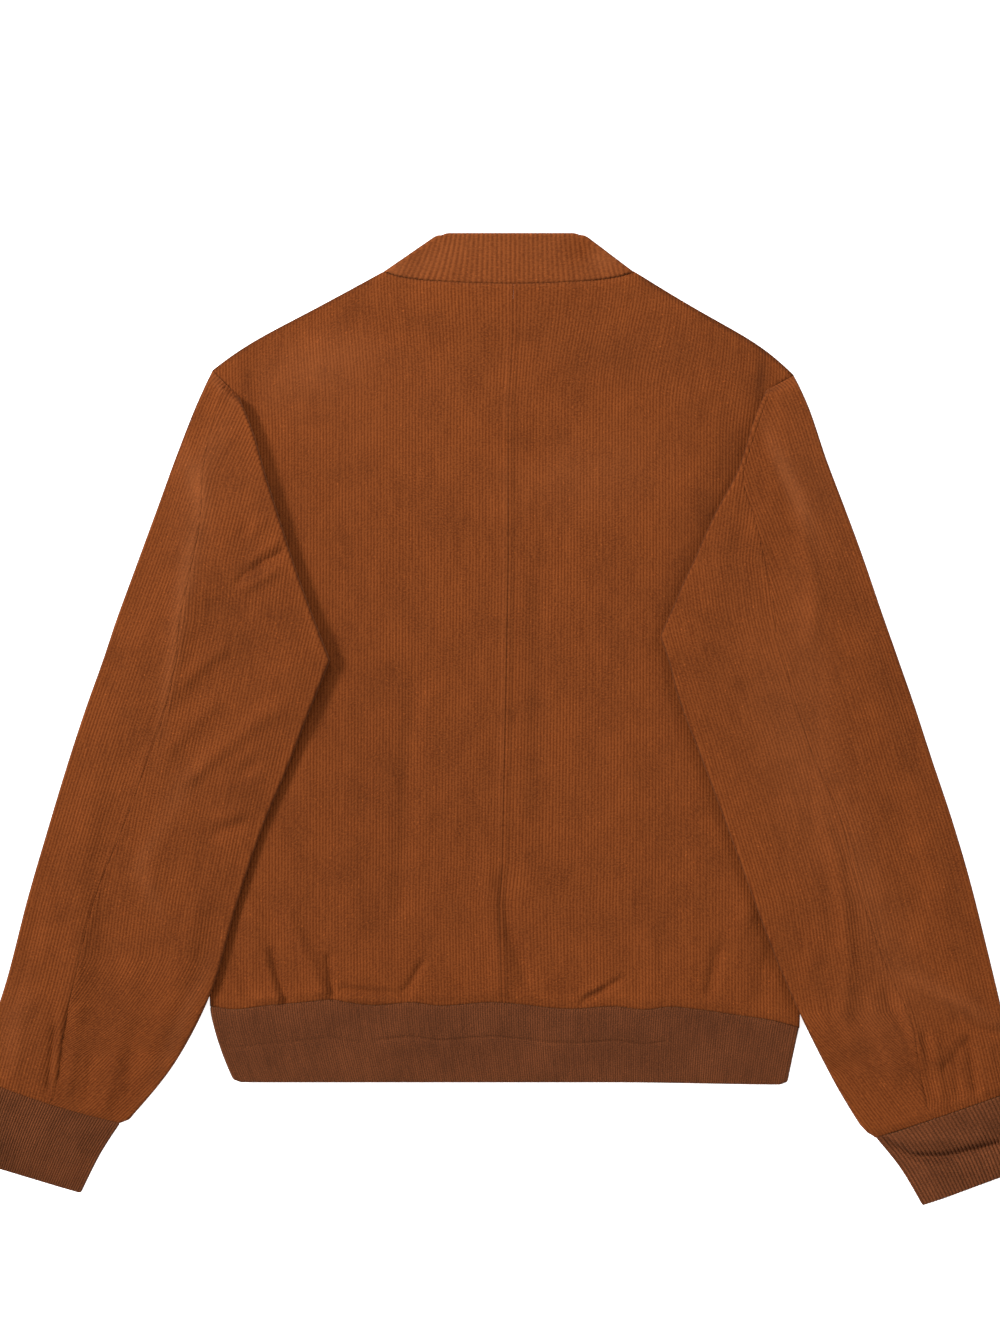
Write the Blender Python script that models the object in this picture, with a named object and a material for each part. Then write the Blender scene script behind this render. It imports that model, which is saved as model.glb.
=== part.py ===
"""A corduroy blouson jacket, laid flat on a table with its back up.

Every piece of cloth is a wall of even thickness on a surface worked out from the cut: two back
panels with a shaped centre seam, two fronts under them, a stand collar, two-piece sleeves whose caps
open into the armholes, rib-knit cuffs and a rib-knit hem band. Sizes are in millimetres until the
meshes are made. X runs to the wearer's right, Y to the collar and Z up from the table.
"""

import bpy
import numpy as np

MM = 0.001

# Cloth
CORD = 2.0  # thickness of one layer of corduroy
COLLAR_CORD = 3.0  # the collar is two layers sewn together
KNIT = 2.6  # folded rib knit
SEAM = 0.3  # gap between two pieces at a seam
UNDER_SEAM = 0.8  # the same between the fronts and the hem band, whose grids differ
REST = 0.4  # gap between two pieces that lie on each other
RIB = 2.0  # pitch of the knit ribs
RIB_HEIGHT = 0.4

# Levels of the layers' middle surfaces
FRONT_LEVEL = CORD / 2
EDGE_LEVEL = FRONT_LEVEL + CORD + REST  # the back where it is pressed on the front at an edge
BACK_LEVEL = EDGE_LEVEL + 2.0  # the back where air lifts it
EDGE_FLAT = 2.0  # width at the body's edges where the back stays pressed
EDGE_ROLL = 55.0  # width over which it then rises
HEM_PRESS = 0.4  # the back comes down this much at the hem band
HEM_PRESS_RUN = 30.0
COLLAR_RUN = 12.0  # length over which the back rises onto the collar's under layer
COLLAR_MARGIN = 16.0  # and it has risen this far outside that layer
FOLD_FADE = 1.2  # folds are whole where the back has risen this much

# Body, as half widths from the centre-back line and heights above the middle of the laid jacket
CENTRE_X = 6.0
NECK_X = 9.0  # middle of the laid neck
NECK_Y = 357.0  # collar seam at the centre back
NECK_POINT_RISE = 11.0  # from there up to the shoulder neck points
NECK_HALF = 102.0
FRONT_NECK_DROP = 55.0  # front neckline below the back one, at the centre front
COLLAR_HEIGHT = 41.0
COLLAR_TOP_HALF = 57.0
COLLAR_FOLD = 3.2  # the outside of its side folds, from their middle line
COLLAR_TRIM = 0.04  # share of the neckline that the collar's side folds take
COLLAR_INSET = 3.4  # the folds start this far inside the neck points
COLLAR_DIP = 0.6  # and this far below them
COLLAR_ROUND = 1.1  # the folds end this much below the top edge
COLLAR_AIR = 0.6  # gap between its layers
NECK_STEPS = 5  # grid steps of the panels and the collar along half the neckline
SHOULDER_SWELL = 6.0  # the shoulder line rounds out by this much
SIDE_HOLLOW = 3.0  # and the side comes in by this much between the armpit and the hem
HEM_SEAM_Y = -236.0
HEM_BOTTOM_Y = -298.0
HEM_HALF_TOP = 244.0
HEM_HALF_BOTTOM = 223.0
HEM_WAVE = 1.6  # the seam above the band waves this much
HEM_SLANT = 18.0  # the laid hem seam drops this much at the wearer's right side
BOTTOM_SLANT = 2.0  # and the bottom edge this much
SLANT_START = 90.0
SLANT_RUN = 160.0
HEM_WAVE_PITCH = 27.0  # for each radian

# Centre-back seam: where it stands aside from the centre line, down the back
CENTRE_SEAM = {"y": (357, 316, 250, 130, 16, -120, -152, -235), "x": (5, 5, 1, 1, -1, -4, -7, -4)}

# Laid sleeves. Each row is a section across the sleeve, from the armhole seam to the cuff seam: its
# outer and inner ends, then, as shares of its width from the outer end, the hind-arm seam in the
# upper layer and the armhole or fore-arm seam in the lower layer.
SLEEVE_COLUMNS = ("outer_x", "outer_y", "inner_x", "inner_y", "hind", "under")
SLEEVE_ROWS = {
    "left": (
        (-234, 285, -215, 265, 0.52, 0.84),
        (-249, 253, -197, 234, 0.36, 0.80),
        (-266, 212, -182, 200, 0.33, 0.74),
        (-282, 171, -175, 159, 0.36, 0.73),
        (-300, 122, -169, 121, 0.35, 0.67),
        (-315, 81, -154, 84, 0.33, 0.52),
        (-326, 48, -139, 48, 0.33, 0.33),
        (-341, 6, -156, 6, 0.36, 0.32),
        (-356, -40, -174, -40, 0.36, 0.30),
        (-372, -93, -196, -93, 0.35, 0.28),
        (-388, -148, -216, -153, 0.32, 0.28),
        (-405, -214, -237, -224, 0.33, 0.30),
        (-420, -259, -269, -282, 0.39, 0.33),
        (-430, -294, -312, -332, 0.52, 0.36),
    ),
    "right": (
        (240, 282, 219, 270, 0.80, 0.84),
        (253, 253, 209, 247, 0.84, 0.80),
        (267, 212, 195, 204, 0.86, 0.73),
        (283, 170, 175, 166, 0.70, 0.62),
        (297, 132, 158, 128, 0.58, 0.53),
        (312, 88, 138, 88, 0.51, 0.41),
        (326, 48, 133, 48, 0.50, 0.27),
        (339, 11, 148, 12, 0.51, 0.26),
        (354, -35, 166, -35, 0.51, 0.25),
        (370, -83, 184, -83, 0.49, 0.25),
        (385, -134, 203, -135, 0.51, 0.25),
        (400, -194, 226, -196, 0.50, 0.26),
        (411, -240, 251, -252, 0.47, 0.28),
        (418, -270, 277, -298, 0.52, 0.31),
        (426, -303, 308, -344, 0.60, 0.34),
    ),
}
# Rings of the sleeves' grids, counted in those rows. The first ones end at the armhole, and the panels
# take the same points along it; the armpit lies just past them.
CAP_RINGS = (0, 0.6, 1.3, 2, 2.7, 3.4, 4, 4.5, 5, 5.4, 5.7)
ARM_RINGS = (5.8, 6, 6.3, 6.6, *np.arange(7, 13, 0.5))
SLEEVE_LOFT = 1.8  # air between the sleeve's layers, away from its edges
LOFT_RUN = 30.0  # width over which that air grows
FOLD_RUN = 12.0  # folds are whole this far from a folded edge
EDGE_GAP = 0.6  # air inside a folded edge
SHELF = 3.0  # the under layer stays level this far past the body's edge
STEP_DOWN = 11.0  # and then comes down to the table over this width
BODY_STEP = 45.0  # the upper layer takes this width
STEP_LEAD = 6.0  # and starts this far past the edge
OVER_BODY = 14.0  # the sleeve's under layer spans the body's rolled edge by this much
MARK_GAP = 0.5  # least distance between two of its grid lines

# Knit tubes: how much the upper layer swells away from its folds
CUFF_PLUMP = 1.2
CUFF_PLUMP_RUN = 25.0
BAND_AIR = 1.0
BAND_PLUMP = 0.6
BAND_PLUMP_RUN = 30.0
CUFF_WIDTH = 110.0  # of the laid upper layer between its folds

# Laid cuffs: seam and bottom ends, outer and inner
CUFF_COLUMNS = ("outer_x", "outer_y", "inner_x", "inner_y")
CUFF_ROWS = {
    "left": ((-431, -294, -312, -332), (-440, -327, -328, -357), (-447, -358, -344, -389)),
    "right": ((426, -303, 308, -345), (438, -333, 328, -369), (447, -362, 346, -399.4)),
}

# Largest folds. The columns are x0, y0, x1, y1, half width and height: each fold follows the line
# between two points, and a trough's height is below 0.
BACK_FOLDS = (
    (2, -100, 20, -215, 7, -1.2),
    (-12, -110, 2, -225, 9, 0.7),
    (32, 130, 30, -100, 12, -0.7),
    (-70, 40, -82, -165, 12, -0.9),
    (-112, 20, -100, -90, 14, -0.6),
    (-150, -205, -138, -226, 7, -1.3),
    (-172, -160, -146, -218, 11, 1.0),
    (-188, -190, -172, -228, 6, -1.0),
    (-205, -150, -190, -224, 10, 0.9),
    (-215, -190, -207, -226, 6, -1.2),
    (-128, -222, -74, -228, 9, -0.8),
    (72, -230, 96, -216, 7, -1.1),
    (180, -190, 172, -222, 7, -1.2),
    (204, -150, 194, -200, 12, 0.9),
    (20, 235, 60, 225, 16, -0.6),
    (40, 190, 90, 200, 14, 0.6),
    (-130, 320, -60, 318, 16, -0.7),
    (60, 330, 150, 318, 14, -0.8),
)
SLEEVE_FOLDS = {
    "left": (
        (-176, 138, -214, 110, 6, -1.4),
        (-184, 115, -216, 104, 9, 1.0),
        (-226, 56, -258, 30, 9, 1.0),
        (-234, 12, -278, -30, 9, 1.0),
        (-184, 10, -280, -48, 11, 1.2),
        (-240, 30, -275, 0, 8, -1.0),
        (-200, -30, -240, -44, 9, -0.8),
        (-366, -245, -371, -300, 6, -1.2),
        (-346, -228, -360, -300, 7, 1.0),
        (-268, -240, -290, -296, 12, 0.8),
    ),
    "right": (
        (246, 170, 257, 70, 12, 0.8),
        (262, -82, 284, -200, 8, 0.9),
        (316, -220, 350, -300, 8, -1.0),
        (374, -224, 410, -254, 6, 1.2),
        (364, -290, 384, -262, 8, -0.9),
    ),
}


def smooth(t):
    """0 up to t = 0, 1 from t = 1, and an even S between."""
    t = np.clip(t, 0.0, 1.0)
    return t * t * (3 - 2 * t)


def column(rows, columns, name):
    return np.array([row[columns.index(name)] for row in rows], float)


def through(values, t):
    """A smooth curve through values at t = 0, 1, 2...: each span is the cubic that leaves and meets
    its ends along the chord of their neighbours."""
    t = np.clip(t, 0, len(values) - 1)
    k = np.minimum(t.astype(int), len(values) - 2)
    f = t - k
    p0 = values[np.maximum(k - 1, 0)]
    p1 = values[k]
    p2 = values[k + 1]
    p3 = values[np.minimum(k + 2, len(values) - 1)]
    cubic = 1.5 * (p1 - p2) + (p3 - p0) / 2
    square = p0 - 2.5 * p1 + 2 * p2 - p3 / 2
    return p1 + f * ((p2 - p0) / 2 + f * (square + f * cubic))


def route(*stretches):
    """One line of points from several, and the share of its length at each point."""
    points = np.concatenate(stretches)
    steps = np.linalg.norm(np.diff(points, axis=0), axis=1)
    keep = np.r_[True, steps > 1e-6]
    points = points[keep]
    length = np.r_[0, np.cumsum(np.linalg.norm(np.diff(points, axis=0), axis=1))]
    return points, length / length[-1]


def at(line, share):
    """Points at these shares of a route's length."""
    points, lengths = line
    return np.stack([np.interp(share, lengths, points[:, axis]) for axis in (0, 1)], axis=-1)


def patch(top, bottom, centre, side, u, v):
    """The patch between four routes: a blend of the two pairs of opposite edges, less the blend of
    the corners. u runs from the centre route to the side one and v from the top to the bottom. The
    side's curve dies away fast towards the centre, so that it doesn't reach the neckline."""
    near_side = (u**4)[..., None]
    low = v[..., None]
    across = (1 - low) * at(top, u) + low * at(bottom, u)
    down = (1 - near_side) * at(centre, v) + near_side * at(side, v)
    upper_corners = (1 - near_side) * top[0][0] + near_side * top[0][-1]
    lower_corners = (1 - near_side) * bottom[0][0] + near_side * bottom[0][-1]
    return across + down - (1 - low) * upper_corners - low * lower_corners


def folds(table, x, y):
    """Height of the folds: each is a soft ridge or trough along its line, fading past its ends."""
    height = np.zeros_like(x)
    for x0, y0, x1, y1, width, rise in table:
        along = np.array([x1 - x0, y1 - y0], float)
        length = np.linalg.norm(along)
        along /= length
        s = (x - x0) * along[0] + (y - y0) * along[1]
        aside = (x - x0) * along[1] - (y - y0) * along[0]
        past = np.maximum(0, np.maximum(-s, s - length))
        height += rise * np.exp(-((aside / width) ** 2) - (past / (1.5 * width)) ** 2)
    return height


# ---------------------------------------------------------------- lines of the cut


def centre_seam_x(y):
    return CENTRE_X + np.interp(y, CENTRE_SEAM["y"][::-1], CENTRE_SEAM["x"][::-1])


def hem_seam_y(x, wave=HEM_WAVE):
    """The seam between the body and the hem band: wavy, and lower at the wearer's right side."""
    inside = smooth((HEM_HALF_TOP - np.abs(x - CENTRE_X)) / EDGE_ROLL)
    slant = HEM_SLANT * smooth((x - SLANT_START) / SLANT_RUN)
    return HEM_SEAM_Y - slant + wave * inside * np.sin(x / HEM_WAVE_PITCH)


def sleeve_ends(side, v):
    """The outer and inner ends of the laid sleeve's sections at v, counted in rows."""
    rows = SLEEVE_ROWS[side]
    ends = [through(column(rows, SLEEVE_COLUMNS, name), v) for name in SLEEVE_COLUMNS[:4]]
    return np.stack(ends[:2], axis=-1), np.stack(ends[2:], axis=-1)


def sleeve_share(side, name, v):
    return through(column(SLEEVE_ROWS[side], SLEEVE_COLUMNS, name), v)


def sign_of(side):
    return -1.0 if side == "left" else 1.0


def hem_corner(side):
    x = CENTRE_X + sign_of(side) * HEM_HALF_TOP
    return np.array([x, hem_seam_y(x)])


def shoulder_line(side):
    """From the neck point down to the shoulder point, rounded out towards the shoulder."""
    neck = np.array([NECK_X + sign_of(side) * NECK_HALF, NECK_Y + NECK_POINT_RISE])
    shoulder = sleeve_ends(side, np.array([0.0]))[0][0]
    t = np.linspace(0, 1, 30)[:, None]
    line = neck + t * (shoulder - neck)
    line[:, 1] += SHOULDER_SWELL * np.sin(np.pi * t[:, 0] ** 2.5)
    return line


def armhole_line(side):
    """The armhole: along the sleeve's first section from the shoulder point, then under the sleeve
    to the armpit, at the sleeve's own rings."""
    v = np.array(CAP_RINGS, float)
    outer, inner = sleeve_ends(side, v)
    share = sleeve_share(side, "under", v)[:, None]
    return np.concatenate([outer[:1], outer + share * (inner - outer)])


def side_line(side):
    armpit = armhole_line(side)[-1]
    corner = hem_corner(side)
    t = np.linspace(0, 1, 40)[1:, None]
    line = armpit + t * (corner - armpit)
    line[:, 0] -= sign_of(side) * SIDE_HOLLOW * np.sin(np.pi * t[:, 0])
    return line


def neck_line(side, drop, start_x=NECK_X):
    """The neckline from the centre to the neck point. It is a part of an ellipse."""
    start = np.arcsin(sign_of(side) * (start_x - NECK_X) / NECK_HALF)
    t = np.linspace(start, np.pi / 2, 40)
    x = NECK_X + sign_of(side) * NECK_HALF * np.sin(t)
    y = NECK_Y + NECK_POINT_RISE - (NECK_POINT_RISE + drop) * np.cos(t)
    return np.stack([x, y], axis=-1)


def beside(line, distance):
    """A line moved sideways, to its left for a positive distance."""
    way = np.gradient(line, axis=0)
    way /= np.linalg.norm(way, axis=1, keepdims=True)
    return line + distance * np.stack([-way[:, 1], way[:, 0]], axis=-1)


def neck_steps():
    """Shares of half the neckline at the collar's grid lines: even steps, and its side fold."""
    return np.append(np.arange(NECK_STEPS) / NECK_STEPS, 1 - COLLAR_TRIM)


def panel_across(side, drop, start_x, steps):
    """Values of u across a panel: the collar's points on its neckline, the neck point, then even
    steps along the shoulder."""
    neck = neck_line(side, drop, start_x)
    top = route(neck, shoulder_line(side))
    neck_end = top[1][len(neck) - 1]
    whole = route(neck_line(side, drop))
    x = at(whole, neck_steps()[1:])[:, 0] * sign_of(side)
    marks = np.interp(x, neck[:, 0] * sign_of(side), top[1][: len(neck)])
    return np.concatenate([[0], marks, np.linspace(neck_end, 1, steps + 1)])


def panel_along(side, steps):
    """Values of v down a panel: the sleeve's rings along the armhole, then even steps down the side."""
    armhole = armhole_line(side)
    edge = route(armhole, side_line(side))
    return np.concatenate([edge[1][: len(armhole)], np.linspace(edge[1][len(armhole) - 1], 1, steps + 1)[1:]])


def body_edge(side):
    return route(shoulder_line(side), armhole_line(side), side_line(side))


BODY_EDGES = {side: body_edge(side) for side in ("left", "right")}
EDGE_POINTS = np.concatenate([at(BODY_EDGES[side], np.linspace(0, 1, 260)) for side in BODY_EDGES])


def edge_distance(x, y):
    """How far each point lies from the nearest edge of the laid body, shoulders and sides."""
    apart = np.hypot(x[..., None] - EDGE_POINTS[:, 0], y[..., None] - EDGE_POINTS[:, 1])
    return apart.min(axis=-1)


def back_level(x, y):
    """The middle surface of the back: pressed on the front at its edges, lifted inside, with folds."""
    inside = smooth((edge_distance(x, y) - EDGE_FLAT) / EDGE_ROLL)
    hem = smooth(1 - (y - hem_seam_y(x)) / HEM_PRESS_RUN)
    level = EDGE_LEVEL + (BACK_LEVEL - EDGE_LEVEL) * inside
    front_neck = smooth((y - NECK_Y + FRONT_NECK_DROP + COLLAR_MARGIN) / COLLAR_RUN)
    over_collar = front_neck * smooth((NECK_HALF + COLLAR_MARGIN - np.abs(x - NECK_X)) / COLLAR_RUN)
    level = np.maximum(level, EDGE_LEVEL + (COLLAR_CORD - CORD) * over_collar)
    risen = smooth((level - EDGE_LEVEL) / FOLD_FADE)
    return level - HEM_PRESS * hem * inside + folds(BACK_FOLDS, x, y) * risen


def front_level(x, y):
    return np.full_like(x, FRONT_LEVEL)


def centre_front_x(y):
    """The centre front, straight from the middle of the laid neck to the middle of the hem."""
    return CENTRE_X + (NECK_X - CENTRE_X) * (y - HEM_SEAM_Y) / (NECK_Y - FRONT_NECK_DROP - HEM_SEAM_Y)


# ---------------------------------------------------------------- surfaces


def panel(side, level, neck_drop, middle_x, wave):
    """A front or back panel as a surface: the patch between its neck and shoulder, its hem seam, its
    centre line and its side with the armhole, at the height that level gives."""
    away = sign_of(side) * SEAM / 2
    start_x = middle_x(np.array(NECK_Y - neck_drop))
    neck = beside(neck_line(side, neck_drop, start_x), -sign_of(side) * SEAM / 2)
    top = route(neck, shoulder_line(side))
    hem_x = np.linspace(middle_x(np.array(HEM_SEAM_Y)), hem_corner(side)[0], 60)
    bottom = route(np.stack([hem_x, hem_seam_y(hem_x, wave) + SEAM], axis=-1))
    centre_y = np.linspace(top[0][0][1], bottom[0][0][1], 60)
    centre = route(np.stack([middle_x(centre_y), centre_y], axis=-1))
    side_edge = route(armhole_line(side), side_line(side)[:-1], bottom[0][-1:])

    def surface(u, v):
        flat = patch(top, bottom, centre, side_edge, u, v)
        x = flat[..., 0] + away * (1 - u) - away * u
        y = flat[..., 1]
        return np.stack([x, y, level(x, y)], axis=-1)

    return surface


def rest_level(x, y):
    """Where the sleeve's under layer lies on the back: clear of it also between two grid lines."""
    inside = smooth((edge_distance(x, y) + OVER_BODY) / EDGE_ROLL)
    even = EDGE_LEVEL + (BACK_LEVEL - EDGE_LEVEL) * inside
    return np.maximum(even, back_level(x, y)) + CORD + REST


def sleeve_section(side, v):
    """The numbers that shape the section at v: its ends, width, and where its seams and the body's
    edge lie, in millimetres from the outer end."""
    outer, inner = sleeve_ends(side, v)
    width = np.linalg.norm(inner - outer, axis=-1)
    hind = sleeve_share(side, "hind", v) * width
    under = sleeve_share(side, "under", v) * width
    edge = side_line(side)
    along = (outer[..., 1] + inner[..., 1]) / 2
    edge_x = np.interp(along, edge[::-1, 1], edge[::-1, 0])
    beyond = (edge_x - outer[..., 0]) / (inner[..., 0] - outer[..., 0]) * width
    body = np.where(v <= CAP_RINGS[-1], under, np.maximum(beyond, under))
    past_hem = along < hem_corner(side)[1]
    return outer, inner, width, hind, under, np.where(past_hem, 2 * width, body)


def place(section, s):
    outer, inner, width = section[:3]
    return outer + (s / width)[..., None] * (inner - outer)


def lower_level(section, s):
    """The middle surface of the layer that lies on the table and, past the body's edge, on it."""
    body = section[5]
    point = place(section, s)
    on_body = rest_level(point[..., 0], point[..., 1])
    down = np.clip((body - SHELF - s) / STEP_DOWN, 0, 1)
    return on_body + (FRONT_LEVEL - on_body) * down


def upper_level(side, section, s):
    """The middle surface of the layer on top: the lower one's height with its step drawn out, the
    air between them and the folds."""
    body, width = section[5], section[2]
    point = place(section, s)
    over = smooth(1 - (body - s - STEP_LEAD) / BODY_STEP)
    under = FRONT_LEVEL + (rest_level(point[..., 0], point[..., 1]) - FRONT_LEVEL) * over
    near_edge = np.minimum(s, width - s)
    air = EDGE_GAP + SLEEVE_LOFT * smooth(near_edge / LOFT_RUN)
    fold = folds(SLEEVE_FOLDS[side], point[..., 0], point[..., 1]) * smooth(near_edge / FOLD_RUN)
    return under + CORD + np.maximum(air + fold, EDGE_GAP)


def sleeve_piece(side, name, rows):
    """A sleeve piece as a surface. u from 0 to 1 runs over the upper layer from the hind-arm seam to
    the folded edge, 1 to 2 round the fold, and 2 to 3 back under it to the armhole or fore-arm seam.
    v runs from the armhole to the cuff."""
    radius = (CORD + EDGE_GAP) / 2
    fold = CORD / 2 + radius

    def under_marks(width, under, body):
        """Where the under sleeve's lower layer has its grid lines: close together at the body's edge,
        and never closer than MARK_GAP."""
        steps = (5 * OVER_BODY, 3 * OVER_BODY, 1.5 * OVER_BODY, SHELF, -SHELF, -SHELF - STEP_DOWN)
        last = len(steps)
        marks = [np.maximum(body + step, under + MARK_GAP * (last - k)) for k, step in enumerate(steps)]
        marks = [np.minimum(mark, width - fold - MARK_GAP * (k + 1)) for k, mark in enumerate(marks)]
        return [width - fold, *marks, np.minimum(under, marks[-1] - MARK_GAP)]

    def surface(u, v):
        section = sleeve_section(side, v * rows)
        width, hind, under, body = section[2:]
        if name == "top":
            start = hind - SEAM / 2
            fold_s = np.full_like(width, fold)
            lower_s = fold_s + (under - SEAM - fold_s) * np.clip(u - 2, 0, 1)
            low = np.full_like(width, FRONT_LEVEL)
            lower_z = low
        else:
            start = hind + SEAM / 2
            fold_s = width - fold
            marks = under_marks(width, under, body)
            t = np.clip(u - 2, 0, 1) * (len(marks) - 1)
            k = np.minimum(t.astype(int), len(marks) - 2)
            lower_s = np.choose(k, marks[:-1]) * (1 - t + k) + np.choose(k, marks[1:]) * (t - k)
            low = lower_level(section, fold_s)
            lower_z = lower_level(section, lower_s)
        upper_s = start + (fold_s - start) * np.clip(u, 0, 1)
        high = upper_level(side, section, fold_s)
        angle = np.pi * (0.5 - np.clip(u - 1, 0, 1))
        swing = radius * np.cos(angle) * (-1 if name == "top" else 1)
        turn_z = (high + low) / 2 + (high - low) / 2 * np.sin(angle)
        s = np.where(u <= 1, upper_s, np.where(u < 2, fold_s + swing, lower_s))
        z = np.where(u <= 1, upper_level(side, section, upper_s), np.where(u < 2, turn_z, lower_z))
        return np.concatenate([place(section, s), z[..., None]], axis=-1)

    return surface


def away_from_armhole(surface, side, rows):
    """Moves the sleeve's first section off the back's edge by the seam gap, and its last off the
    cuff."""

    def moved(u, v):
        points = surface(u, v)
        outer, inner = sleeve_ends(side, np.array([0.0, float(rows)]))
        for end, fade in ((0, np.clip(1 - v * rows, 0, 1)), (1, np.clip(1 - (1 - v) * rows, 0, 1))):
            across = inner[end] - outer[end]
            down = np.array([across[1], -across[0]]) * (1 if side == "left" else -1)
            down /= np.linalg.norm(down)
            down *= 1 if end == 0 else -1
            points[..., :2] += down * SEAM * fade[..., None]
        return points

    return moved


def cuff_surface(side):
    """A flattened knit tube. u runs once round it: the upper layer from the outer edge to the inner
    one, the inner fold, the lower layer and the outer fold."""
    rows = CUFF_ROWS[side]
    radius = (KNIT + EDGE_GAP) / 2
    low = KNIT / 2

    def surface(u, v):
        ends = [through(column(rows, CUFF_COLUMNS, name), v * 2) for name in CUFF_COLUMNS]
        outer = np.stack(ends[:2], axis=-1)
        inner = np.stack(ends[2:], axis=-1)
        width = np.linalg.norm(inner - outer, axis=-1)
        fold = KNIT / 2 + radius
        run = width - 2 * fold
        leg = np.floor(u).astype(int) % 4
        t = u - np.floor(u)
        angle = np.pi * t
        s = np.choose(
            leg,
            [
                fold + run * t,
                width - fold + radius * np.sin(angle),
                width - fold - run * t,
                fold - radius * np.sin(angle),
            ],
        )
        plump = CUFF_PLUMP * smooth(np.minimum(s, width - s) / CUFF_PLUMP_RUN)
        turned = radius * (1 - np.cos(angle))
        z = low + np.choose(leg, [2 * radius + plump, 2 * radius - turned, 0 * t, turned])
        point = outer + (s / width)[..., None] * (inner - outer)
        return np.concatenate([point, z[..., None]], axis=-1)

    return surface


def band_surface():
    """The hem band: u from 0 to 1 is the under layer from the centre front to the wearer's left side,
    1 to 2 the fold there, 2 to 3 the upper layer, 3 to 4 the fold at the right, 4 to 5 the under
    layer back to the centre front. v runs from the body seam to the bottom edge."""
    radius = (KNIT + BAND_AIR) / 2
    low = KNIT / 2
    fold = KNIT / 2 + radius

    def surface(u, v):
        half = HEM_HALF_TOP + (HEM_HALF_BOTTOM - HEM_HALF_TOP) * v
        left = CENTRE_X - half + fold
        right = CENTRE_X + half - fold
        leg = np.minimum(np.floor(u).astype(int), 4)
        t = u - leg
        angle = np.pi * t
        left_end = CENTRE_X - SEAM / 2
        right_end = CENTRE_X + SEAM / 2
        x = np.choose(
            leg,
            [
                left_end + (left - left_end) * t,
                left - radius * np.sin(angle),
                left + (right - left) * t,
                right + radius * np.sin(angle),
                right + (right_end - right) * t,
            ],
        )
        plump = BAND_PLUMP * smooth(np.minimum(x - left, right - x) / BAND_PLUMP_RUN)
        turned = radius * (1 - np.cos(angle))
        z = low + np.choose(leg, [0 * t, turned, 2 * radius + plump, 2 * radius - turned, 0 * t])
        upper = (leg > 0) & (leg < 4)
        top = hem_seam_y(x, np.where(upper, HEM_WAVE, 0.0)) - np.where(upper, SEAM / 2, UNDER_SEAM)
        bottom = HEM_BOTTOM_Y - BOTTOM_SLANT * smooth((x - SLANT_START) / SLANT_RUN)
        return np.stack([x, top + (bottom - top) * v, z], axis=-1)

    return surface


def collar_line(side, drop, share, v):
    """Points of one collar layer, on straight lines from the neck seam at v = 0 to the top edge at 1.
    share runs from the centre, 0, to the side fold, 1, and drop lowers the layer's middle. Both layers
    end on one line at the fold."""
    share = share * (1 - COLLAR_TRIM)
    at_fold = (share > 1 - 1.01 * COLLAR_TRIM)[..., None]
    seam = at(route(beside(neck_line(side, drop), sign_of(side) * SEAM / 2)), share)
    inside = np.array([NECK_HALF - COLLAR_INSET, NECK_Y + NECK_POINT_RISE - COLLAR_DIP])
    seam = np.where(at_fold, inside * [sign_of(side), 1] + [NECK_X, 0], seam)
    t = np.linspace(0, np.pi / 2, 24)
    top_x = NECK_X + sign_of(side) * (COLLAR_TOP_HALF - COLLAR_FOLD) * np.sin(t)
    top_y = NECK_Y + COLLAR_HEIGHT - drop * np.cos(t) ** 1.5
    top = at(route(np.stack([top_x, top_y], axis=-1)), share)
    corner_x = (COLLAR_TOP_HALF - COLLAR_FOLD) * (1 - COLLAR_TRIM)
    corner = np.array([corner_x, NECK_Y + COLLAR_HEIGHT - COLLAR_ROUND])
    top = np.where(at_fold, corner * [sign_of(side), 1] + [NECK_X, 0], top)
    return seam + (top - seam) * v[..., None]


def collar_surface():
    """The stand collar, with u as on the hem band and v from the neck seam to the top edge. Its upper
    layer follows the back's neckline and its under layer the fronts'."""
    radius = (COLLAR_CORD + COLLAR_AIR) / 2
    low = COLLAR_CORD / 2

    def surface(u, v):
        leg = np.minimum(np.floor(u).astype(int), 4)
        t = u - leg
        whole = np.ones_like(t)
        points = np.zeros(u.shape + (2,))
        for side, under_leg, fold_leg in (("left", 0, 1), ("right", 4, 3)):
            rise = t if side == "left" else 1 - t
            upper = collar_line(side, 0.0, np.abs(2 * t - 1), v)
            under = collar_line(side, FRONT_NECK_DROP, rise, v)
            under[..., 0] += sign_of(side) * SEAM / 2 * (1 - rise)
            slope = collar_line(side, 0.0, whole, whole) - collar_line(side, 0.0, whole, 0 * whole)
            slope /= np.linalg.norm(slope, axis=-1, keepdims=True)
            out = np.abs(slope[..., ::-1]) * np.array([sign_of(side), 1.0])
            fold = collar_line(side, 0.0, whole, v) + out * radius * np.sin(np.pi * rise[..., None])
            mine = (leg == 2) & ((t < 0.5) == (side == "left"))
            points[mine] = upper[mine]
            points[leg == under_leg] = under[leg == under_leg]
            points[leg == fold_leg] = fold[leg == fold_leg]
        turned = radius * (1 - np.cos(np.pi * t))
        z = low + np.choose(leg, [0 * t, turned, 2 * radius + 0 * t, 2 * radius - turned, 0 * t])
        return np.concatenate([points, z[..., None]], axis=-1)

    return surface


# ---------------------------------------------------------------- solids


def normals(points, closed):
    """Unit normals of a grid of points, from the differences across and along it."""
    if closed:
        wrapped = np.concatenate([points[-2:-1], points, points[1:2]])
        across = np.gradient(wrapped, axis=0)[1:-1]
    else:
        across = np.gradient(points, axis=0)
    along = np.gradient(points, axis=1)
    normal = np.cross(across, along)
    return normal / np.linalg.norm(normal, axis=-1, keepdims=True)


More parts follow.
